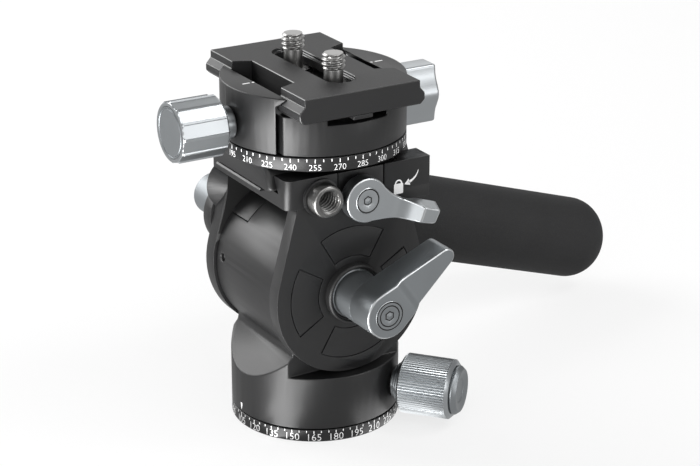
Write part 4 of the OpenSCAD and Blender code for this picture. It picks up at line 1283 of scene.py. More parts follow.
@dataclass(frozen=True)
class PanLock:
    """The knurled pan lock knob, turned round an axis that leans off the tilt axis.

    The rows of collar_rings, cap_side and cap_dish are in millimetres: place from the collar's start and
    radius, place past the knob's end and cut from the boss's radius, and depth below the cap's end and cut.
    """

    angle: float = 40.0
    height: float = 11.3 * MM
    teeth: int = 68
    faces_per_tooth: int = 8
    tooth_d: float = 0.36 * MM
    tooth_share: float = 0.75
    run_out: float = 0.25 * MM
    start: float = 23.9 * MM
    body_start: float = 26.8 * MM
    body_end: float = 41.6 * MM
    end: float = 43.5 * MM
    radius: float = 8.4 * MM
    boss_r: float = 6.9 * MM
    slope: float = 0.95 * MM
    root_slope: float = 0.5 * MM
    rim: float = 0.1 * MM
    seat_in: float = 0.3 * MM
    seat_d: float = 0.7 * MM
    bore_r: float = 2.52 * MM
    collar_rings: Pairs = ((0.0, 4.4), (0.7, 3.5), (1.0, 5.3), (1.6, 4.2), (1.9, 6.2), (2.6, 5.0))
    collar_l: float = 3.0
    collar_round: float = 0.1 * MM
    cap_side: Pairs = ((-0.7, 0.4), (0.2, 0.4), (0.3, 0.0), (0.8, 0.0))
    cap_dish: Pairs = ((0.0, 0.9), (0.0, 1.3), (0.55, 3.4), (0.8, 3.7))
    cap_round: float = 0.14 * MM
    sharp: float = 28.0

    def build(self) -> None:
        """Builds the knob, its cap and its stud."""
        turn = math.radians(self.angle)
        lathe = Lathe(Vector((0, 0, self.height)), Vector((math.cos(turn), math.sin(turn), 0)))
        faces = self.teeth * self.faces_per_tooth
        mesh = lathe.turn("pan_lock_knob_knurled", self.knob_profile(), faces, self.knurl, self.sharp)
        add_piece("pan_lock_knob_knurled", mesh, BRIGHT, "pan_lock", ["pan_lock_knob"])
        mesh = lathe.turn("pan_lock_collar", self.collar_profile(), SMALL_ROUND_FACES, sharp=self.sharp)
        # The collar's darker grey is a painted reflection of the black housing
        add_piece("pan_lock_collar", mesh, SHADED_COLLAR, "pan_lock")
        mesh = lathe.turn("pan_lock_cap_turned", self.cap_profile(), sharp=self.sharp)
        add_piece("pan_lock_cap_turned", mesh, SILVER, "pan_lock", ["pan_lock_cap"])
        carry(["pan_lock_stud"], STEEL)

    def collar_profile(self) -> Profile:
        """Returns the collar of three rings with deep grooves between them."""
        ends = [place for place, reach in self.collar_rings[1:]] + [self.collar_l]
        points = [(self.start, self.bore_r)]
        for (place, reach), end in zip(self.collar_rings, ends):
            points += [(self.start + place * MM, reach * MM), (self.start + end * MM, reach * MM)]
        points.append((self.start + self.collar_l * MM, self.bore_r))
        return rounded(points, self.collar_round, 2)

    def knob_profile(self) -> Profile:
        """Returns the knurled body and its chamfers."""
        first, last = self.body_start, self.body_end
        low, high = first + self.root_slope, last - self.slope
        face, seat = self.radius - self.slope, self.boss_r - self.seat_in
        root = [(first, self.bore_r), (first, self.radius - self.root_slope)]
        body = [(place, self.radius) for place in (low, low + self.run_out, high - self.run_out, high)]
        close = [(last - self.rim / 2, face), (last, face - self.rim), (last, seat),
                 (last - self.seat_d, seat), (last - self.seat_d, self.bore_r)]
        return root + body + close

    def knurl(self, place: float, reach: float, angle: float) -> float:
        """Returns the radius of the straight knurl, which runs out at both ends of the body.

        Args:
            place: place along the axis.
            reach: the profile's radius there.
            angle: the angle round the axis.

        Returns:
            The radius.
        """
        if reach < self.radius - HAIR:
            return reach
        edge = min(place - self.body_start - self.root_slope, self.body_end - self.slope - place)
        tooth = abs((angle * self.teeth / FULL_TURN) % 1.0 * 2 - 1)
        return self.radius - self.tooth_d * ease(edge / self.run_out) * max(0.0, 1 - tooth / self.tooth_share)

    def cap_profile(self) -> Profile:
        """Returns the boss with its groove, bright chamfer and dished face."""
        side = [(self.body_end + place * MM, self.boss_r - cut * MM) for place, cut in self.cap_side]
        dish = [(self.end - depth * MM, self.boss_r - cut * MM) for depth, cut in self.cap_dish]
        return rounded([(side[0][0], 0.0), *side, *dish, (dish[-1][0], 0.0)], self.cap_round, 3)


@dataclass
class Cradle:
    """The cradle with its cheeks, platform, collar, insert and lock sign.

    The outlines of the painted shade on the far cheek and of the sign are in millimetres, and so are the rows
    of collar_step: depth below the collar's end and cut from its radius.
    """

    edge: float = 0.3 * MM
    cap_edge: float = 0.2 * MM
    platform_front: float = field(init=False)
    corner_r: float = 2.4 * MM
    corner_x: float = 20.5 * MM
    corner_depth: float = 0.5 * MM
    corner_h: float = 2.0 * MM
    corner_lean: float = 0.1 * MM
    tilt_z: float = 42.5 * MM
    outline_r: float = 22.9 * MM
    outline_edge: float = 0.55 * MM
    outline_back: float = 5.0 * MM
    outline_top: float = 65.5 * MM
    cheek_faces: tuple[float, float] = (20.8 * MM, -16.4 * MM)
    face_depth: float = 0.05 * MM
    # Painted shade: a dark sheet on the far cheek's inner face, where the platform and the drum shade it
    liner_outline: Pairs = ((-21.4, 51.0), (-19.3, 57.8), (-18.2, 63.0), (-18.0, 69.2), (4.0, 69.2),
                            (4.0, 51.0))
    liner_sunk: float = 0.02 * MM
    liner_h: float = 0.08 * MM
    ledge_x: float = -15.0 * MM
    ledge_l: float = 25.3 * MM
    ledge_y: tuple[float, float] = (-19.8 * MM, -22.3 * MM)
    ledge_z: tuple[float, float] = (72.2 * MM, 72.9 * MM)
    ledge_cut: float = 0.4 * MM
    collar_bore: float = 7.2 * MM
    collar_step: Pairs = ((0.6, 0.0), (0.1, 0.35), (0.1, 0.7), (0.7, 0.75))
    collar_round: float = 0.12 * MM
    collar_sharp: float = 35.0
    insert_pitch: float = 1.27 * MM
    insert_r: float = 2.6 * MM
    insert_depth: float = 0.75 * MM
    insert_per_pitch: int = 16
    sign_x: float = 21.0 * MM
    lock_low: tuple[float, float] = (12.9, 68.1)
    lock_high: tuple[float, float] = (15.8, 71.0)
    lock_round: float = 0.3 * MM
    shackle_r: tuple[float, float] = (1.15 * MM, 0.75 * MM)
    shackle_steps: int = 16
    arrow: Pairs = ((20.6, 73.9), (19.9, 71.6), (17.6, 70.9))
    arrow_steps: int = 10
    arrow_half: tuple[float, float] = (0.08, 0.3)
    head_half: float = 1.0
    head_l: tuple[float, float] = (0.2, 1.5)

    def __post_init__(self) -> None:
        """Finds the platform's front in the frame."""
        self.platform_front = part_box("cradle_platform")[0].y

    def build(self) -> None:
        """Builds and dresses the cradle."""
        soften("cradle_platform", self.edge, BLACK, corners=self.corner)
        self.ledge()
        self.liner()
        soften("near_cheek", self.edge, BLACK, corners=self.cheek_edge)
        soften("far_cheek", self.edge, BLACK, corners=self.cheek_edge)
        soften("far_hub_cap", self.cap_edge, BLACK)
        carry(["tilt_shaft", "cheek_screws"], STEEL)
        self.collar()
        self.insert()
        self.sign()

    def corner(self, first: Vector, second: Vector) -> float:
        """Returns the radius of the platform's upright corner beside the accessory insert.

        Args:
            first: one end of an edge.
            second: its other end.

        Returns:
            The radius, or 0 for any other edge.
        """
        tall = abs(first.z - second.z) > self.corner_h
        upright = (first.xy - second.xy).length < self.corner_lean
        spot = (first + second) / 2
        at_corner = spot.x > self.corner_x and spot.y < self.platform_front + self.corner_depth
        return self.corner_r if tall and upright and at_corner else 0.0

    def cheek_edge(self, first: Vector, second: Vector) -> float:
        """Returns the radius of the front outline on the side of a cheek that faces the short lever.

        Args:
            first: one end of an edge.
            second: its other end.

        Returns:
            The radius, or 0 for any other edge.
        """
        for spot in (first, second):
            outer = min(abs(spot.x - face) for face in self.cheek_faces)
            reach = math.hypot(spot.y, spot.z - self.tilt_z)
            elsewhere = spot.y > self.outline_back or spot.z > self.outline_top
            if outer > self.face_depth or reach < self.outline_r or elsewhere:
                return 0.0
        return self.outline_edge

    def liner(self) -> None:
        """Builds painted shade: a thin dark sheet on the far cheek's inner face, in front of the drum, where
        the platform and the drum shade it.
        """
        place = on_x_plane(self.cheek_faces[1] - self.liner_sunk)
        mesh = prism("far_cheek_painted_shade", in_mm(self.liner_outline), place, self.liner_h)
        add_piece("far_cheek_painted_shade", mesh, DARK, "cradle")

    def ledge(self) -> None:
        """Builds the slim ledge under the dovetail slab's front."""
        (back, front), (low, top), cut = self.ledge_y, self.ledge_z, self.ledge_cut
        outline = [(back, low), (back, top), (front + cut, top), (front, top - cut), (front, low)]
        mesh = prism("platform_ledge", outline, on_x_plane(self.ledge_x), self.ledge_l)
        add_piece("platform_ledge", mesh, BLACK, "cradle")

    def collar(self) -> None:
        """Builds the stepped collar round the tilt lever's hub."""
        low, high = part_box("hub_collar")
        lathe = Lathe(node_middle("hub_collar"), ALONG_X)
        outer, half, inner = (high.y - low.y) / 2, (high.x - low.x) / 2, self.collar_bore
        step = [(half - depth * MM, outer - cut * MM) for depth, cut in self.collar_step]
        points = [(-half, inner), (-half, outer), *step, (step[-1][0], inner)]
        profile = rounded(points, self.collar_round, 3)
        mesh = lathe.turn("hub_collar_turned", profile, sharp=self.collar_sharp)
        add_piece("hub_collar_turned", mesh, DARK, "cradle", ["hub_collar"])

    def insert(self) -> None:
        """Builds the threaded accessory insert."""
        low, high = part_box("accessory_insert")
        middle = node_middle("accessory_insert")
        lathe = Lathe(Vector((0, middle.y, middle.z)), ALONG_X)
        thread = Thread(lathe, self.insert_pitch, SMALL_ROUND_FACES, self.insert_per_pitch)
        outer = (high.y - low.y) / 2
        mesh = thread.nut("accessory_insert_threaded", low.x, high.x, outer, self.insert_r, self.insert_depth)
        add_piece("accessory_insert_threaded", mesh, INSERT, "cradle", ["accessory_insert"])

    def padlock(self) -> list[Outline]:
        """Returns the outlines of the padlock's body and of its shackle."""
        (left, low), (right, high) = in_mm((self.lock_low, self.lock_high))
        body = rounded([(left, low), (right, low), (right, high), (left, high)], self.lock_round, closed=True)
        middle = (left + right) / 2
        arc = [math.pi * i / self.shackle_steps for i in range(self.shackle_steps + 1)]
        shackle: Outline = []
        for reach, angles in zip(self.shackle_r, (arc, arc[::-1])):
            shackle += [(middle + reach * math.cos(a), high + reach * math.sin(a)) for a in angles]
        return [body, shackle]

    def arrow_outlines(self) -> list[Outline]:
        """Returns the outlines of the arrow's widening band and of its head."""
        start, bend, tip = (Vector(point) for point in self.arrow)
        thin, growth = self.arrow_half
        upper, lower = [], []
        for index in range(self.arrow_steps + 1):
            share = index / self.arrow_steps
            spot = bent_point(start, bend, tip, share)
            way = ((bend - start) * (1 - share) + (tip - bend) * share).normalized()
            off = Vector((-way.y, way.x)) * (thin + growth * share)
            upper.append(tuple(spot + off))
            lower.append(tuple(spot - off))
        way = (tip - bend).normalized()
        off = Vector((-way.y, way.x)) * self.head_half
        back, point = tip - way * self.head_l[0], tip + way * self.head_l[1]
        head = [tuple(back + off), tuple(point), tuple(back - off)]
        return [in_mm(upper + lower[::-1]), in_mm(head)]

    def sign(self) -> None:
        """Builds the printed padlock and arrow beside the short lever."""
        place = on_x_plane(self.sign_x - PRINT_RISE / 2)
        outlines = self.padlock() + self.arrow_outlines()
        meshes = [prism("sign", outline, place, PRINT_RISE) for outline in outlines]
        add_piece("lock_sign_print", join_meshes("lock_sign_print", meshes), PRINT, "cradle")


@dataclass(frozen=True)
class TiltLock:
    """The long tilt lock lever: a round hub whose end runs out into a bar."""

    pivot_z: float = 42.5 * MM
    angle: float = 34.0
    hub_r: float = 6.6 * MM
    tip_r: float = 2.4 * MM
    length: float = 22.4 * MM
    start: float = 21.1 * MM
    bar_back: float = 29.9 * MM
    end: float = 40.2 * MM
    dip: Swell = Swell(-1.1 * MM, 6.0 * MM, 3.4 * MM)
    dip_steps: int = 8
    edge: float = 0.45 * MM
    flange_h: float = 0.45 * MM
    flange_l: float = 1.2 * MM
    flange_slope: float = 0.1 * MM
    hub_lap: float = 0.7 * MM
    hub_round: float = 0.15 * MM
    screw_r: float = 4.2 * MM
    screw_rise: float = 0.18 * MM
    outer_groove_in: float = 0.3 * MM
    inner_groove_r: float = 2.9 * MM
    socket_r: float = 1.5 * MM

    def build(self) -> None:
        """Builds and dresses the lever and its screw."""
        pivot = Vector((0, 0, self.pivot_z))
        lathe = Lathe(pivot, ALONG_X)
        bar = LeverBar(pivot, self.angle, self.bar_back, self.end)
        outline = link_outline(self.hub_r, self.tip_r, self.length)
        mesh = bar.mesh("tilt_lever_bar", outline, self.dip.cuts(self.dip_steps), self.dip.at)
        lever = add_piece("tilt_lever_bar", mesh, SILVER, "tilt_lock", ["tilt_lever"])
        break_edges(lever, "broken_edges", self.edge, 1, LEVER_EDGE_ANGLE, POLISH)
        mesh = lathe.turn("tilt_lever_hub", self.hub_profile())
        add_piece("tilt_lever_hub", mesh, SILVER, "tilt_lock")
        grooves = (self.screw_r - self.outer_groove_in, self.inner_groove_r)
        disc = SocketDisc(lathe, self.end + self.screw_rise, self.screw_r, grooves, self.socket_r)
        disc.fit("tilt_lever_disc", SILVER, "tilt_lock", "tilt_lever_screw")
        carry(["tilt_clamp_stud"], STEEL)

    def hub_profile(self) -> Profile:
        """Returns the hub with the low flange at its foot."""
        flange_r, flange_end = self.hub_r + self.flange_h, self.start + self.flange_l
        end = self.bar_back + self.hub_lap
        points = [(self.start, 0.0), (self.start, flange_r), (flange_end, flange_r),
                  (flange_end + self.flange_slope, self.hub_r), (end, self.hub_r), (end, 0.0)]
        return rounded(points, self.hub_round, 3)


@dataclass(frozen=True)
class ReleaseLock:
    """The short release lever, whose bar sweeps outwards to a flat finger pad, with its sliding jaw.

    The bar's outline is in millimetres, along the bar and across it, from the pivot.
    """

    pivot_y: float = 1.5 * MM
    pivot_z: float = 70.2 * MM
    angle: float = -20.8
    hub_r: float = 6.2 * MM
    hub_steps: int = 40
    back: float = 22.2 * MM
    front: float = 26.4 * MM
    bar: Pairs = ((4.1, 4.65), (7.2, 3.2), (10.5, 2.6), (15.8, 2.25), (20.9, 2.5),
                  (20.5, -1.6), (15.8, -2.2), (10.5, -2.9), (7.0, -3.9), (3.4, -5.2))
    bar_round: float = 0.9 * MM
    sweep_slope: float = 0.9
    sweep_bend: float = 5.0 * MM
    sweep_start: float = 8.6 * MM
    sweep_l: float = 7.2 * MM
    sweep_steps: int = 14
    back_sweep: Swell = Swell(3.3 * MM, 8.0 * MM, 6.5 * MM)
    tip_reach: Swell = Swell(1.4 * MM, 17.0 * MM, 4.0 * MM)
    tip_width: Swell = Swell(1.2 * MM, 11.0 * MM, 5.0 * MM)
    tip_cuts: tuple[float, float] = (18.0 * MM, 20.0 * MM)
    edge: float = 0.4 * MM
    boss_start: float = 21.1 * MM
    boss_end: float = 22.5 * MM
    boss_r: float = 4.0 * MM
    boss_round: float = 0.2 * MM
    screw_r: float = 3.6 * MM
    screw_rise: float = 0.18 * MM
    groove_r: float = 3.25 * MM
    socket_r: float = 1.4 * MM
    jaw_edge: float = 0.25 * MM

    def outline(self) -> Outline:
        """Returns the round hub with a waist and a nearly square tip."""
        (high_u, high_v), (low_u, low_v) = self.bar[0], self.bar[-1]
        high, low = math.atan2(high_v, high_u), math.atan2(low_v, low_u)
        turn = (low + FULL_TURN - high) / self.hub_steps
        arc = [high + turn * i for i in range(1, self.hub_steps)]
        hub = [(self.hub_r * math.cos(a), self.hub_r * math.sin(a)) for a in arc]
        return rounded(in_mm(self.bar), self.bar_round, 5)[::-1] + hub

    def front_sweep(self, along: float) -> float:
        """Returns how far the bar's front sweeps out, first in a bend and then on a straight slope.

        Args:
            along: the place along the bar.

        Returns:
            The sweep.
        """
        run = min(self.sweep_l, max(0.0, along - self.sweep_start))
        bend = min(run, self.sweep_bend)
        return self.sweep_slope * (bend ** 2 / (2 * self.sweep_bend) + run - bend)

    def build(self) -> None:
        """Builds and dresses the lever, its screw and the jaw."""
        pivot = Vector((0, self.pivot_y, self.pivot_z))
        bar = LeverBar(pivot, self.angle, self.back, self.front)
        steps = range(self.sweep_steps + 1)
        cuts = [self.sweep_start + self.sweep_l * i / self.sweep_steps for i in steps]
        mesh = bar.mesh("release_lever_bar", self.outline(), [*cuts, *self.tip_cuts], self.front_sweep,
                        self.back_sweep.at, self.tip_reach.at, self.tip_width.at)
        lever = add_piece("release_lever_bar", mesh, BRIGHT, "release", ["release_lever"])
        break_edges(lever, "broken_edges", self.edge, 2, LEVER_EDGE_ANGLE, POLISH)
        lathe = Lathe(pivot, ALONG_X)
        boss = [(self.boss_start, 0.0), (self.boss_start, self.boss_r), (self.boss_end, self.boss_r),
                (self.boss_end, 0.0)]
        mesh = lathe.turn("release_lever_boss", rounded(boss, self.boss_round), SMALL_ROUND_FACES)
        add_piece("release_lever_boss", mesh, SILVER, "release")
        face = self.front + self.screw_rise
        disc = SocketDisc(lathe, face, self.screw_r, (self.groove_r,), self.socket_r)
        disc.fit("release_lever_disc", BRIGHT, "release", "release_screw")
        soften("release_jaw", self.jaw_edge, BLACK)


@dataclass(frozen=True)
class BalanceSlide:
    """The dovetail slab with the upper scale ring."""

    slab_edge: float = 0.3 * MM
    ring_edge: float = 0.25 * MM
    front_y: float = -21.95 * MM
    side_x: float = 12.0 * MM
    corner_r: float = 1.4 * MM
    scale: ScalePrint = ScalePrint(
        "upper_scale_print", "upper_scale_ring", "dovetail", marked_label=255, marked_angle=-28.5,
        figure_h=1.6 * MM, figure_z=0.4 * MM, tick_top=3.5 * MM, tick_l=0.75 * MM, long_tick_l=1.05 * MM)

    def front_corner(self, first: Vector, second: Vector) -> float:
        """Returns the radius of the slab's front corner beside the short lever."""
        at_corner = max(first.y, second.y) < self.front_y and min(first.x, second.x) > self.side_x
        return self.corner_r if at_corner else 0.0

    def build(self) -> None:
        """Builds and dresses the slab, the ring and its print."""
        soften("dovetail_slab", self.slab_edge, BLACK, corners=self.front_corner)
        soften("upper_scale_ring", self.ring_edge, BLACK)
        carry(["turntable_spindle", "slab_screws", "spindle_cap"], STEEL)
        self.scale.build()


@dataclass(frozen=True)
class JawMark:
    """A printed dot and dash on the top of a jaw, in millimetres from the turntable's axis."""

    body: str
    side: int
    dot: float
    start: float
    end: float
    dot_r: float = 0.38
    half_w: float = 0.28
    dot_steps: int = 16

    def build(self, top: float) -> None:
        """Builds the mark as one piece.

        Args:
            top: the height of the jaw's top.
        """
        half, angles = self.half_w, [FULL_TURN * i / self.dot_steps for i in range(self.dot_steps)]
        dot = [(self.dot_r * math.cos(a), self.dot + self.dot_r * math.sin(a)) for a in angles]
        dash = [(-half, self.start), (half, self.start), (half, self.end), (-half, self.end)]

        def place(u: float, v: float, depth: float) -> Vector:
            """Puts one point onto the jaw's top."""
            return Vector((u, self.side * v, top - PRINT_RISE / 2 + depth))

        meshes = [prism("mark", in_mm(outline), place, PRINT_RISE) for outline in (dash, dot)]
        name = self.body + "_mark_print"
        add_piece(name, join_meshes(name, meshes), PRINT, self.body)


@dataclass(frozen=True)
class Turntable:
    """The clamp body, its moving jaw and its two knobs.

    The wing's side is in millimetres, from the knob's middle.
    """

    edge: float = 0.3 * MM
    marks: tuple[JawMark, ...] = (JawMark("clamp_slider", -1, 18.3, 19.3, 21.5),
                                  JawMark("turntable", 1, 18.3, 19.4, 21.8))
    panels: int = 12
    faces_per_panel: int = 56
    panel_share: float = 0.82
    panel_in: float = 0.2 * MM
    rib_h: float = 0.3 * MM
    rib_share: float = 0.07
    knob_r: float = 8.45 * MM
    knob_short: float = 0.5 * MM
    bore_r: float = 2.52 * MM
    collar_l: float = 3.8 * MM
    collar_r: float = 4.6 * MM
    collar_edge: float = 0.3 * MM
    collar_round: float = 0.15 * MM
    root_in: float = 0.7 * MM
    root_l: float = 0.6 * MM
    rim: float = 0.5 * MM
    knob_gap: float = 0.1 * MM
    knob_round: float = 0.12 * MM
    knob_sharp: float = 24.0
    disc_r: float = 6.95 * MM
    disc_d: float = 1.2 * MM
    disc_sharp: float = 25.0
    disc_roughness: float = 0.42
    groove: tuple[float, float] = (0.25 * MM, 0.7 * MM)
    groove_d: float = 0.2 * MM
    groove_slope: float = 0.1 * MM
    wing_side: Pairs = ((5.6, 0.0), (5.4, 1.2), (4.7, 2.8), (3.9, 4.4), (3.5, 6.0))
    wing_shoulder: tuple[float, float] = (3.4 * MM, 6.4 * MM)
    wing_tip: float = 3.3 * MM
    wing_round: float = 2.3 * MM
    wing_edge: float = 0.8 * MM

    def build(self) -> None:
        """Builds and dresses the turntable."""
        soften("clamp_body", self.edge, BLACK)
        soften("clamp_jaw", self.edge, BLACK)
        carry(["turntable_bush", "turntable_brake_shoe"], BRONZE)
        carry(["jaw_guide_pins", "clamp_stud", "turntable_lock_stud"], STEEL)
        for mark in self.marks:
            mark.build(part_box("clamp_jaw")[1].z)
        self.clamp_knob()
        self.wing_knob()

    def panel(self, place: float, reach: float, angle: float) -> float:
        """Returns the radius of the clamp knob's flat panels, which leave narrow ribs between them.

        Args:
            place: place along the axis.
            reach: the profile's radius there.
            angle: the angle round the axis.

        Returns:
            The radius.
        """
        if reach < self.disc_r + self.panel_in:
            return reach
        half = math.pi / self.panels
        off = abs(angle % (2 * half) - half)
        edge = half * self.panel_share
        flat = (self.knob_r - self.rib_h) * math.cos(edge) / math.cos(min(off, edge))
        rib = flat + (self.knob_r - flat) * ease((off - edge) / (half * self.rib_share))
        return min(reach, rib)

    def clamp_knob(self) -> None:
        """Builds the panelled clamp knob with its end disc."""
        low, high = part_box("clamp_knob")
        lathe = Lathe(Vector((0, 0, node_middle("clamp_knob").z)), -ALONG_Y)
        start, end = -high.y, -low.y - self.knob_short
        profile = self.collar_profile(start) + self.knob_profile(start + self.collar_l, end)
        faces = self.panels * self.faces_per_panel
        mesh = lathe.turn("clamp_knob_panelled", profile, faces, self.panel, self.knob_sharp)
        add_piece("clamp_knob_panelled", mesh, BRIGHT, "clamp_screw", ["clamp_knob"])
        face = TurnedFinish("turned_grey", SILVER.slot, SILVER.colour, self.disc_roughness,
                            tuple(lathe.origin), tuple(lathe.axis))
        mesh = lathe.turn("clamp_knob_disc", self.disc_profile(end), sharp=self.disc_sharp)
        add_piece("clamp_knob_disc", mesh, face, "clamp_screw", ["clamp_knob_cap"])

    def collar_profile(self, start: float) -> Profile:
        """Returns the clamp knob's collar.

        Args:
            start: where it starts along the axis.

        Returns:
            The profile.
        """
        end = start + self.collar_l - self.knob_gap
        points = [(start, self.bore_r), (start, self.collar_r - self.collar_edge),
                  (start + self.collar_edge, self.collar_r), (end, self.collar_r)]
        return rounded(points, self.collar_round, 2)

    def knob_profile(self, first: float, end: float) -> Profile:
        """Returns the clamp knob's body with the seat for its disc.

        Args:
            first: where the body starts along the axis.
            end: where it ends.

        Returns:
            The profile.
        """
        seat, floor = self.disc_r + self.knob_gap, end - self.disc_d
        points = [(first, self.collar_r + self.knob_gap), (first, self.knob_r - self.root_in),
                  (first + self.root_l, self.knob_r), (end - self.rim, self.knob_r),
                  (end, self.knob_r - self.rim), (end, seat), (floor, seat), (floor, self.bore_r)]
        return rounded(points, self.knob_round, 2)

    def disc_profile(self, end: float) -> Profile:
        """Returns the clamp knob's end disc with the groove round its face.

        Args:
            end: where its face lies along the axis.

        Returns:
            The profile.
        """
        outer, inner = (self.disc_r - cut for cut in self.groove)
        low, floor = end - self.groove_d, end - self.disc_d
        return [(floor, 0.0), (floor, self.disc_r), (end, self.disc_r), (end, outer),
                (low, outer - self.groove_slope), (low, inner + self.groove_slope), (end, inner), (end, 0.0)]

    def wing_knob(self) -> None:
        """Builds the wing knob: a slim bar that swells round its screw, with well rounded ends."""
        low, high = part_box("turntable_lock_knob")
        middle = node_middle("turntable_lock_knob")
        half = (high.z - low.z) / 2
        end = rounded([self.wing_shoulder, (self.wing_tip, half), (0.0, half)], self.wing_round, 6)
        quarter = in_mm(self.wing_side) + end[1:]
        outline = quarter + [(-u, v) for u, v in reversed(quarter[:-1])]
        outline += [(u, -v) for u, v in reversed(outline[1:-1])]

        def place(u: float, v: float, depth: float) -> Vector:
            """Puts one point of the wing into the shared frame."""
            return Vector((u, low.y + depth, middle.z + v))

        mesh = prism("wing_knob", outline, place, high.y - low.y)
        mesh.shade_smooth()
        knob = add_piece("wing_knob", mesh, BRIGHT, "turntable_lock", ["turntable_lock_knob"])
        break_edges(knob, "broken_edges", self.wing_edge, 4, LEVER_EDGE_ANGLE)


@dataclass(frozen=True)
class QuickPlate:
    """The quick-release plate with its two camera screws."""

    edge: float = 0.14 * MM
    chamfer: float = 0.6 * MM
    stop_edge: float = 0.2 * MM
    pitch: float = 1.27 * MM
    per_pitch: int = 12
    depth: float = 0.62 * MM
    screw_r: float = 3.175 * MM
    head_r: float = 5.2 * MM
    head_h: float = 2.2 * MM
    neck_r: float = 2.6 * MM
    neck_l: float = 1.7 * MM
    lap: float = 0.2 * MM
    shank_round: float = 0.2 * MM

    def build(self) -> None:
        """Builds and dresses the plate and its screws."""
        soften("quick_plate", self.edge, PLATE_BLACK, segments=2, chamfer=self.chamfer, polish=PLATE_EDGE)
        soften("plate_stops", self.stop_edge, PLATE_BLACK)
        carry(["screw_washer_front", "screw_washer_rear"], STEEL)
        for place in ScrewPlace:
            self.screw(place)

    def screw(self, place: ScrewPlace) -> None:
        """Builds one camera screw with its thread, plain neck and head.

        Args:
            place: which of the two screws it is.
        """
        node = "camera_screw_" + place.value
        low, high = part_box(node)
        middle = node_middle(node)
        lathe = Lathe(Vector((middle.x, middle.y, 0)), UPWARDS)
        neck_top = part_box("quick_plate")[1].z + self.neck_l
        thread = Thread(lathe, self.pitch, per_pitch=self.per_pitch)
        rod = thread.rod("thread", neck_top, high.z, self.screw_r, self.depth)
        head_top, end = low.z + self.head_h, neck_top + self.lap
        foot = [(low.z, 0.0), (low.z, self.head_r), (head_top, self.head_r), (head_top, self.neck_r),
                (end, self.neck_r), (end, 0.0)]
        shank = lathe.turn("shank", rounded(foot, self.shank_round), SCREW_FACES)
        mesh = join_meshes(node + "_threaded", [rod, shank])
        smooth(mesh, thread.sharp)
        add_piece(node + "_threaded", mesh, SCREW, "screw_" + place.value, [node])


@dataclass(frozen=True)
class Handle:
    """The handle with its foam grip, bracket and clamp knob."""

    bracket_edge: float = 0.5 * MM
    grip_edge: float = 0.6 * MM
    root: float = 0.6 * MM
    rim: float = 0.5 * MM
    dish_in: tuple[float, float] = (1.4 * MM, 1.8 * MM)
    dish_d: float = 0.5 * MM
    knob_round: float = 0.25 * MM
    knob_sharp: float = 30.0

    def build(self) -> None:
        """Builds and dresses the handle."""
        soften("handle_bracket", self.bracket_edge, BLACK)
        carry(["handle_tube", "handle_screw"], STEEL)
        soften("handle_grip", self.grip_edge, GRIP)
        self.knob()

    def knob(self) -> None:
        """Builds the plain turned clamp knob with a dished end."""
        low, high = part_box("handle_knob")
        middle = node_middle("handle_knob")
        lathe = Lathe(Vector((0, middle.y, middle.z)), -ALONG_X)
        radius = (high.z - low.z) / 2
        start, end = -high.x, -low.x
        outer, inner = (radius - cut for cut in self.dish_in)
        points = [(start, 0.0), (start, radius - self.root), (start + self.root, radius),
                  (end - self.rim, radius), (end, radius - self.rim), (end, outer),
                  (end - self.dish_d, inner), (end - self.dish_d, 0.0)]
        mesh = lathe.turn("handle_knob_turned", rounded(points, self.knob_round, 4), sharp=self.knob_sharp)
        body = frame["nodes"]["handle_knob"]["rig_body"]
        add_piece("handle_knob_turned", mesh, KNOB_GREY, body, ["handle_knob"])


@dataclass(frozen=True)
class SoftBox:
    """A soft box: its direction in degrees, from +X towards +Y and upwards, its distance, size and watts."""

    name: str
    azimuth: float
    elevation: float
    distance: float
    size: tuple[float, float]
    power: float


@dataclass(frozen=True)
class StripeCard:
    """A bright card on the floor: where it starts and ends along its line, its width and its brightness."""

    near: float
    far: float
    width: float
    level: float


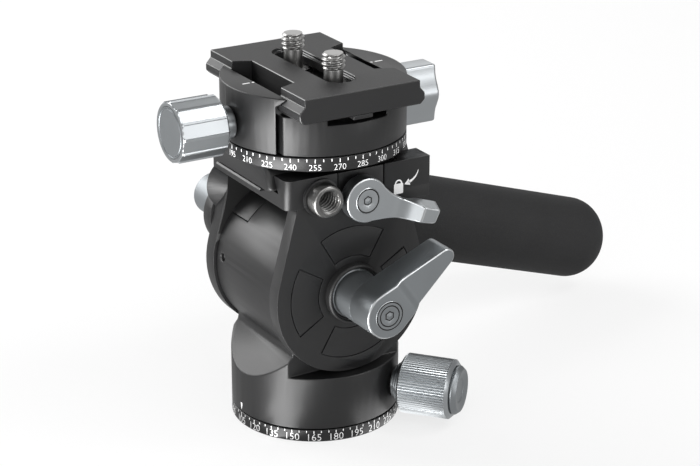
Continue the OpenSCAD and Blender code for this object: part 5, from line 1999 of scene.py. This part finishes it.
@dataclass(frozen=True)
class Studio:
    """The camera, the lights and the floor."""

    azimuth: float = 59.54
    elevation: float = 21.20
    distance: float = 607.94 * MM
    aim_right: float = 9.94 * MM
    aim_z: float = 52.55 * MM
    lens: float = 112.98
    sensor: float = 36.0
    nearest: float = 10.0 * MM
    lit_z: float = 55.0 * MM
    boxes: tuple[SoftBox, ...] = (
        SoftBox("left_box", -152.0, 27.0, 0.9, (0.7, 0.6), 8.0),
        SoftBox("front_box", -55.0, 13.0, 0.9, (0.45, 0.42), 1.2),
        SoftBox("top_box", 5.0, 50.0, 1.0, (1.6, 0.5), 5.0),
        SoftBox("edge_box", 52.0, 53.0, 1.0, (0.26, 0.26), 1.7),
        SoftBox("right_box", 28.0, 11.0, 1.0, (0.35, 0.4), 1.5),
        SoftBox("back_box", 150.0, 30.0, 1.0, (0.8, 0.5), 1.35))
    card_angle: float = -71.0
    card_start: tuple[float, float, float] = (14.95 * MM, -18.26 * MM, 0.0)
    card_rise: float = 0.4 * MM
    cards: tuple[StripeCard, ...] = (
        StripeCard(0.0005, 0.008, 0.009, 5.5), StripeCard(0.008, 0.03, 0.02, 7.6),
        StripeCard(0.03, 0.07, 0.038, 9.0), StripeCard(0.07, 0.16, 0.08, 12.0),
        StripeCard(0.16, 0.5, 0.2, 17.0))
    knob_card_spot: tuple[float, float, float] = (27.0 * MM, 11.0 * MM, 0.0)
    knob_card_size: float = 16.0 * MM
    knob_card_level: float = 1.6
    fill: float = 0.3
    mirrored: float = 0.35
    floor_half: float = 3.0
    floor_drop: float = 0.05 * MM
    floor_grey: float = 0.85
    floor_roughness: float = 0.9
    floor_mirrored: float = 0.6
    floor_seen: float = 0.75

    def build(self) -> None:
        """Builds the whole stage."""
        self.camera()
        self.lights()
        self.world()
        self.floor()

    def camera(self) -> None:
        """Places the camera at the photograph's viewing angle."""
        turn = math.radians(self.azimuth)
        rise = math.radians(self.elevation)
        right = Vector((math.cos(turn), math.sin(turn), 0))
        back = Vector((math.sin(turn) * math.cos(rise), -math.cos(turn) * math.cos(rise), math.sin(rise)))
        aim = right * self.aim_right + UPWARDS * self.aim_z
        data = bpy.data.cameras.new("camera")
        data.sensor_width = self.sensor
        data.lens = self.lens
        data.clip_start = self.nearest
        camera = bpy.data.objects.new("camera", data)
        bpy.context.scene.collection.objects.link(camera)
        camera.location = aim + back * self.distance
        camera.rotation_euler = (-back).to_track_quat("-Z", "Y").to_euler()
        bpy.context.scene.camera = camera

    @staticmethod
    def lamp(name: str, size: tuple[float, float], power: float) -> bpy.types.Object:
        """Adds an area lamp that the camera doesn't see.

        Args:
            name: the lamp's name.
            size: its width and height.
            power: its power in watts.

        Returns:
            The lamp.
        """
        data = bpy.data.lights.new(name, "AREA")
        data.shape = "RECTANGLE"
        data.size, data.size_y = size
        data.energy = power
        lamp = bpy.data.objects.new(name, data)
        bpy.context.scene.collection.objects.link(lamp)
        lamp.visible_camera = False
        return lamp

    def soft_box(self, box: SoftBox) -> None:
        """Adds a soft box that faces the object.

        Args:
            box: the soft box.
        """
        turn = math.radians(box.azimuth)
        rise = math.radians(box.elevation)
        way = Vector((math.cos(turn) * math.cos(rise), math.sin(turn) * math.cos(rise), math.sin(rise)))
        lamp = self.lamp(box.name, box.size, box.power)
        lamp.location = UPWARDS * self.lit_z + way * box.distance
        lamp.rotation_euler = (-way).to_track_quat("-Z", "Y").to_euler()

    def floor_card(self, name: str, spot: Vector, size: tuple[float, float], level: float) -> None:
        """Lays a bright card on the floor, for the low stripes on upright faces.

        Args:
            name: the card's name.
            spot: its middle.
            size: its width and its length along the cards' direction.
            level: its brightness.
        """
        card = self.lamp(name, size, level * math.pi * size[0] * size[1])
        card.location = spot + UPWARDS * self.card_rise
        card.rotation_euler = (math.pi, 0.0, math.radians(self.card_angle + 90.0))

    def lights(self) -> None:
        """Adds the soft boxes and the cards."""
        for box in self.boxes:
            self.soft_box(box)
        turn = math.radians(self.card_angle)
        way = Vector((math.cos(turn), math.sin(turn), 0))
        for index, card in enumerate(self.cards):
            spot = Vector(self.card_start) + way * (card.near + card.far) / 2
            self.floor_card(f"stripe_card_{index}", spot, (card.width, card.far - card.near), card.level)
        size = (self.knob_card_size, self.knob_card_size)
        self.floor_card("knob_card", Vector(self.knob_card_spot), size, self.knob_card_level)

    def world(self) -> None:
        """Makes the surroundings pale, and white where they are seen."""
        world = bpy.data.worlds.new("studio")
        bpy.context.scene.world = world
        world.use_nodes = True
        graph = Graph(world.node_tree)
        ground = world.node_tree.nodes["Background"]
        ground.inputs["Color"].default_value = (1, 1, 1, 1)
        path = graph.add("ShaderNodeLightPath")
        seen = graph.math("MAXIMUM", path.outputs["Is Camera Ray"], path.outputs["Is Transmission Ray"])
        mirrored = graph.math("MULTIPLY", path.outputs["Is Glossy Ray"], self.mirrored)
        level = graph.math("MAXIMUM", graph.math("MAXIMUM", seen, mirrored), self.fill)
        graph.feed(ground.inputs["Strength"], level)

    def floor(self) -> None:
        """Makes the pale floor that keeps the object's shadow."""
        size = self.floor_half
        mesh = bpy.data.meshes.new("floor")
        corners = [(-size, -size, 0), (size, -size, 0), (size, size, 0), (-size, size, 0)]
        mesh.from_pydata(corners, [], [(0, 1, 2, 3)])
        floor = bpy.data.objects.new("floor", mesh)
        bpy.context.scene.collection.objects.link(floor)
        floor.location.z = -self.floor_drop
        material = bpy.data.materials.new("floor")
        material.use_nodes = True
        tree = material.node_tree
        graph = Graph(tree)
        shader = tree.nodes["Principled BSDF"]
        shader.inputs["Base Color"].default_value = (self.floor_grey, self.floor_grey, self.floor_grey, 1)
        shader.inputs["Roughness"].default_value = self.floor_roughness
        path = graph.add("ShaderNodeLightPath")
        seen = graph.math("MAXIMUM", path.outputs["Is Camera Ray"], path.outputs["Is Transmission Ray"])
        mirrored = path.outputs["Is Glossy Ray"]
        level = graph.math("MAXIMUM", seen, graph.math("MULTIPLY", mirrored, self.floor_mirrored))
        glow = graph.add("ShaderNodeEmission", {"Strength": level})
        share = graph.math("MAXIMUM", graph.math("MULTIPLY", seen, self.floor_seen), mirrored)
        mixed = graph.add("ShaderNodeMixShader", {0: share, 1: shader.outputs[0], 2: glow.outputs[0]})
        graph.feed(tree.nodes["Material Output"].inputs["Surface"], mixed.outputs[0])
        mesh.materials.append(material)


def main() -> None:
    """Builds the stage and every sub-assembly in order."""
    logging.basicConfig(level=logging.INFO, format="%(name)s: %(message)s")
    bpy.context.scene.view_settings.view_transform = "Standard"
    for part in (Studio(), Base(), PanUnit(), PanLock(), Cradle(), TiltLock(), ReleaseLock(), BalanceSlide(),
                 Turntable(), QuickPlate(), Handle()):
        LOG.info("building %s", type(part).__name__)
        part.build()


if __name__ == "__main__":
    main()
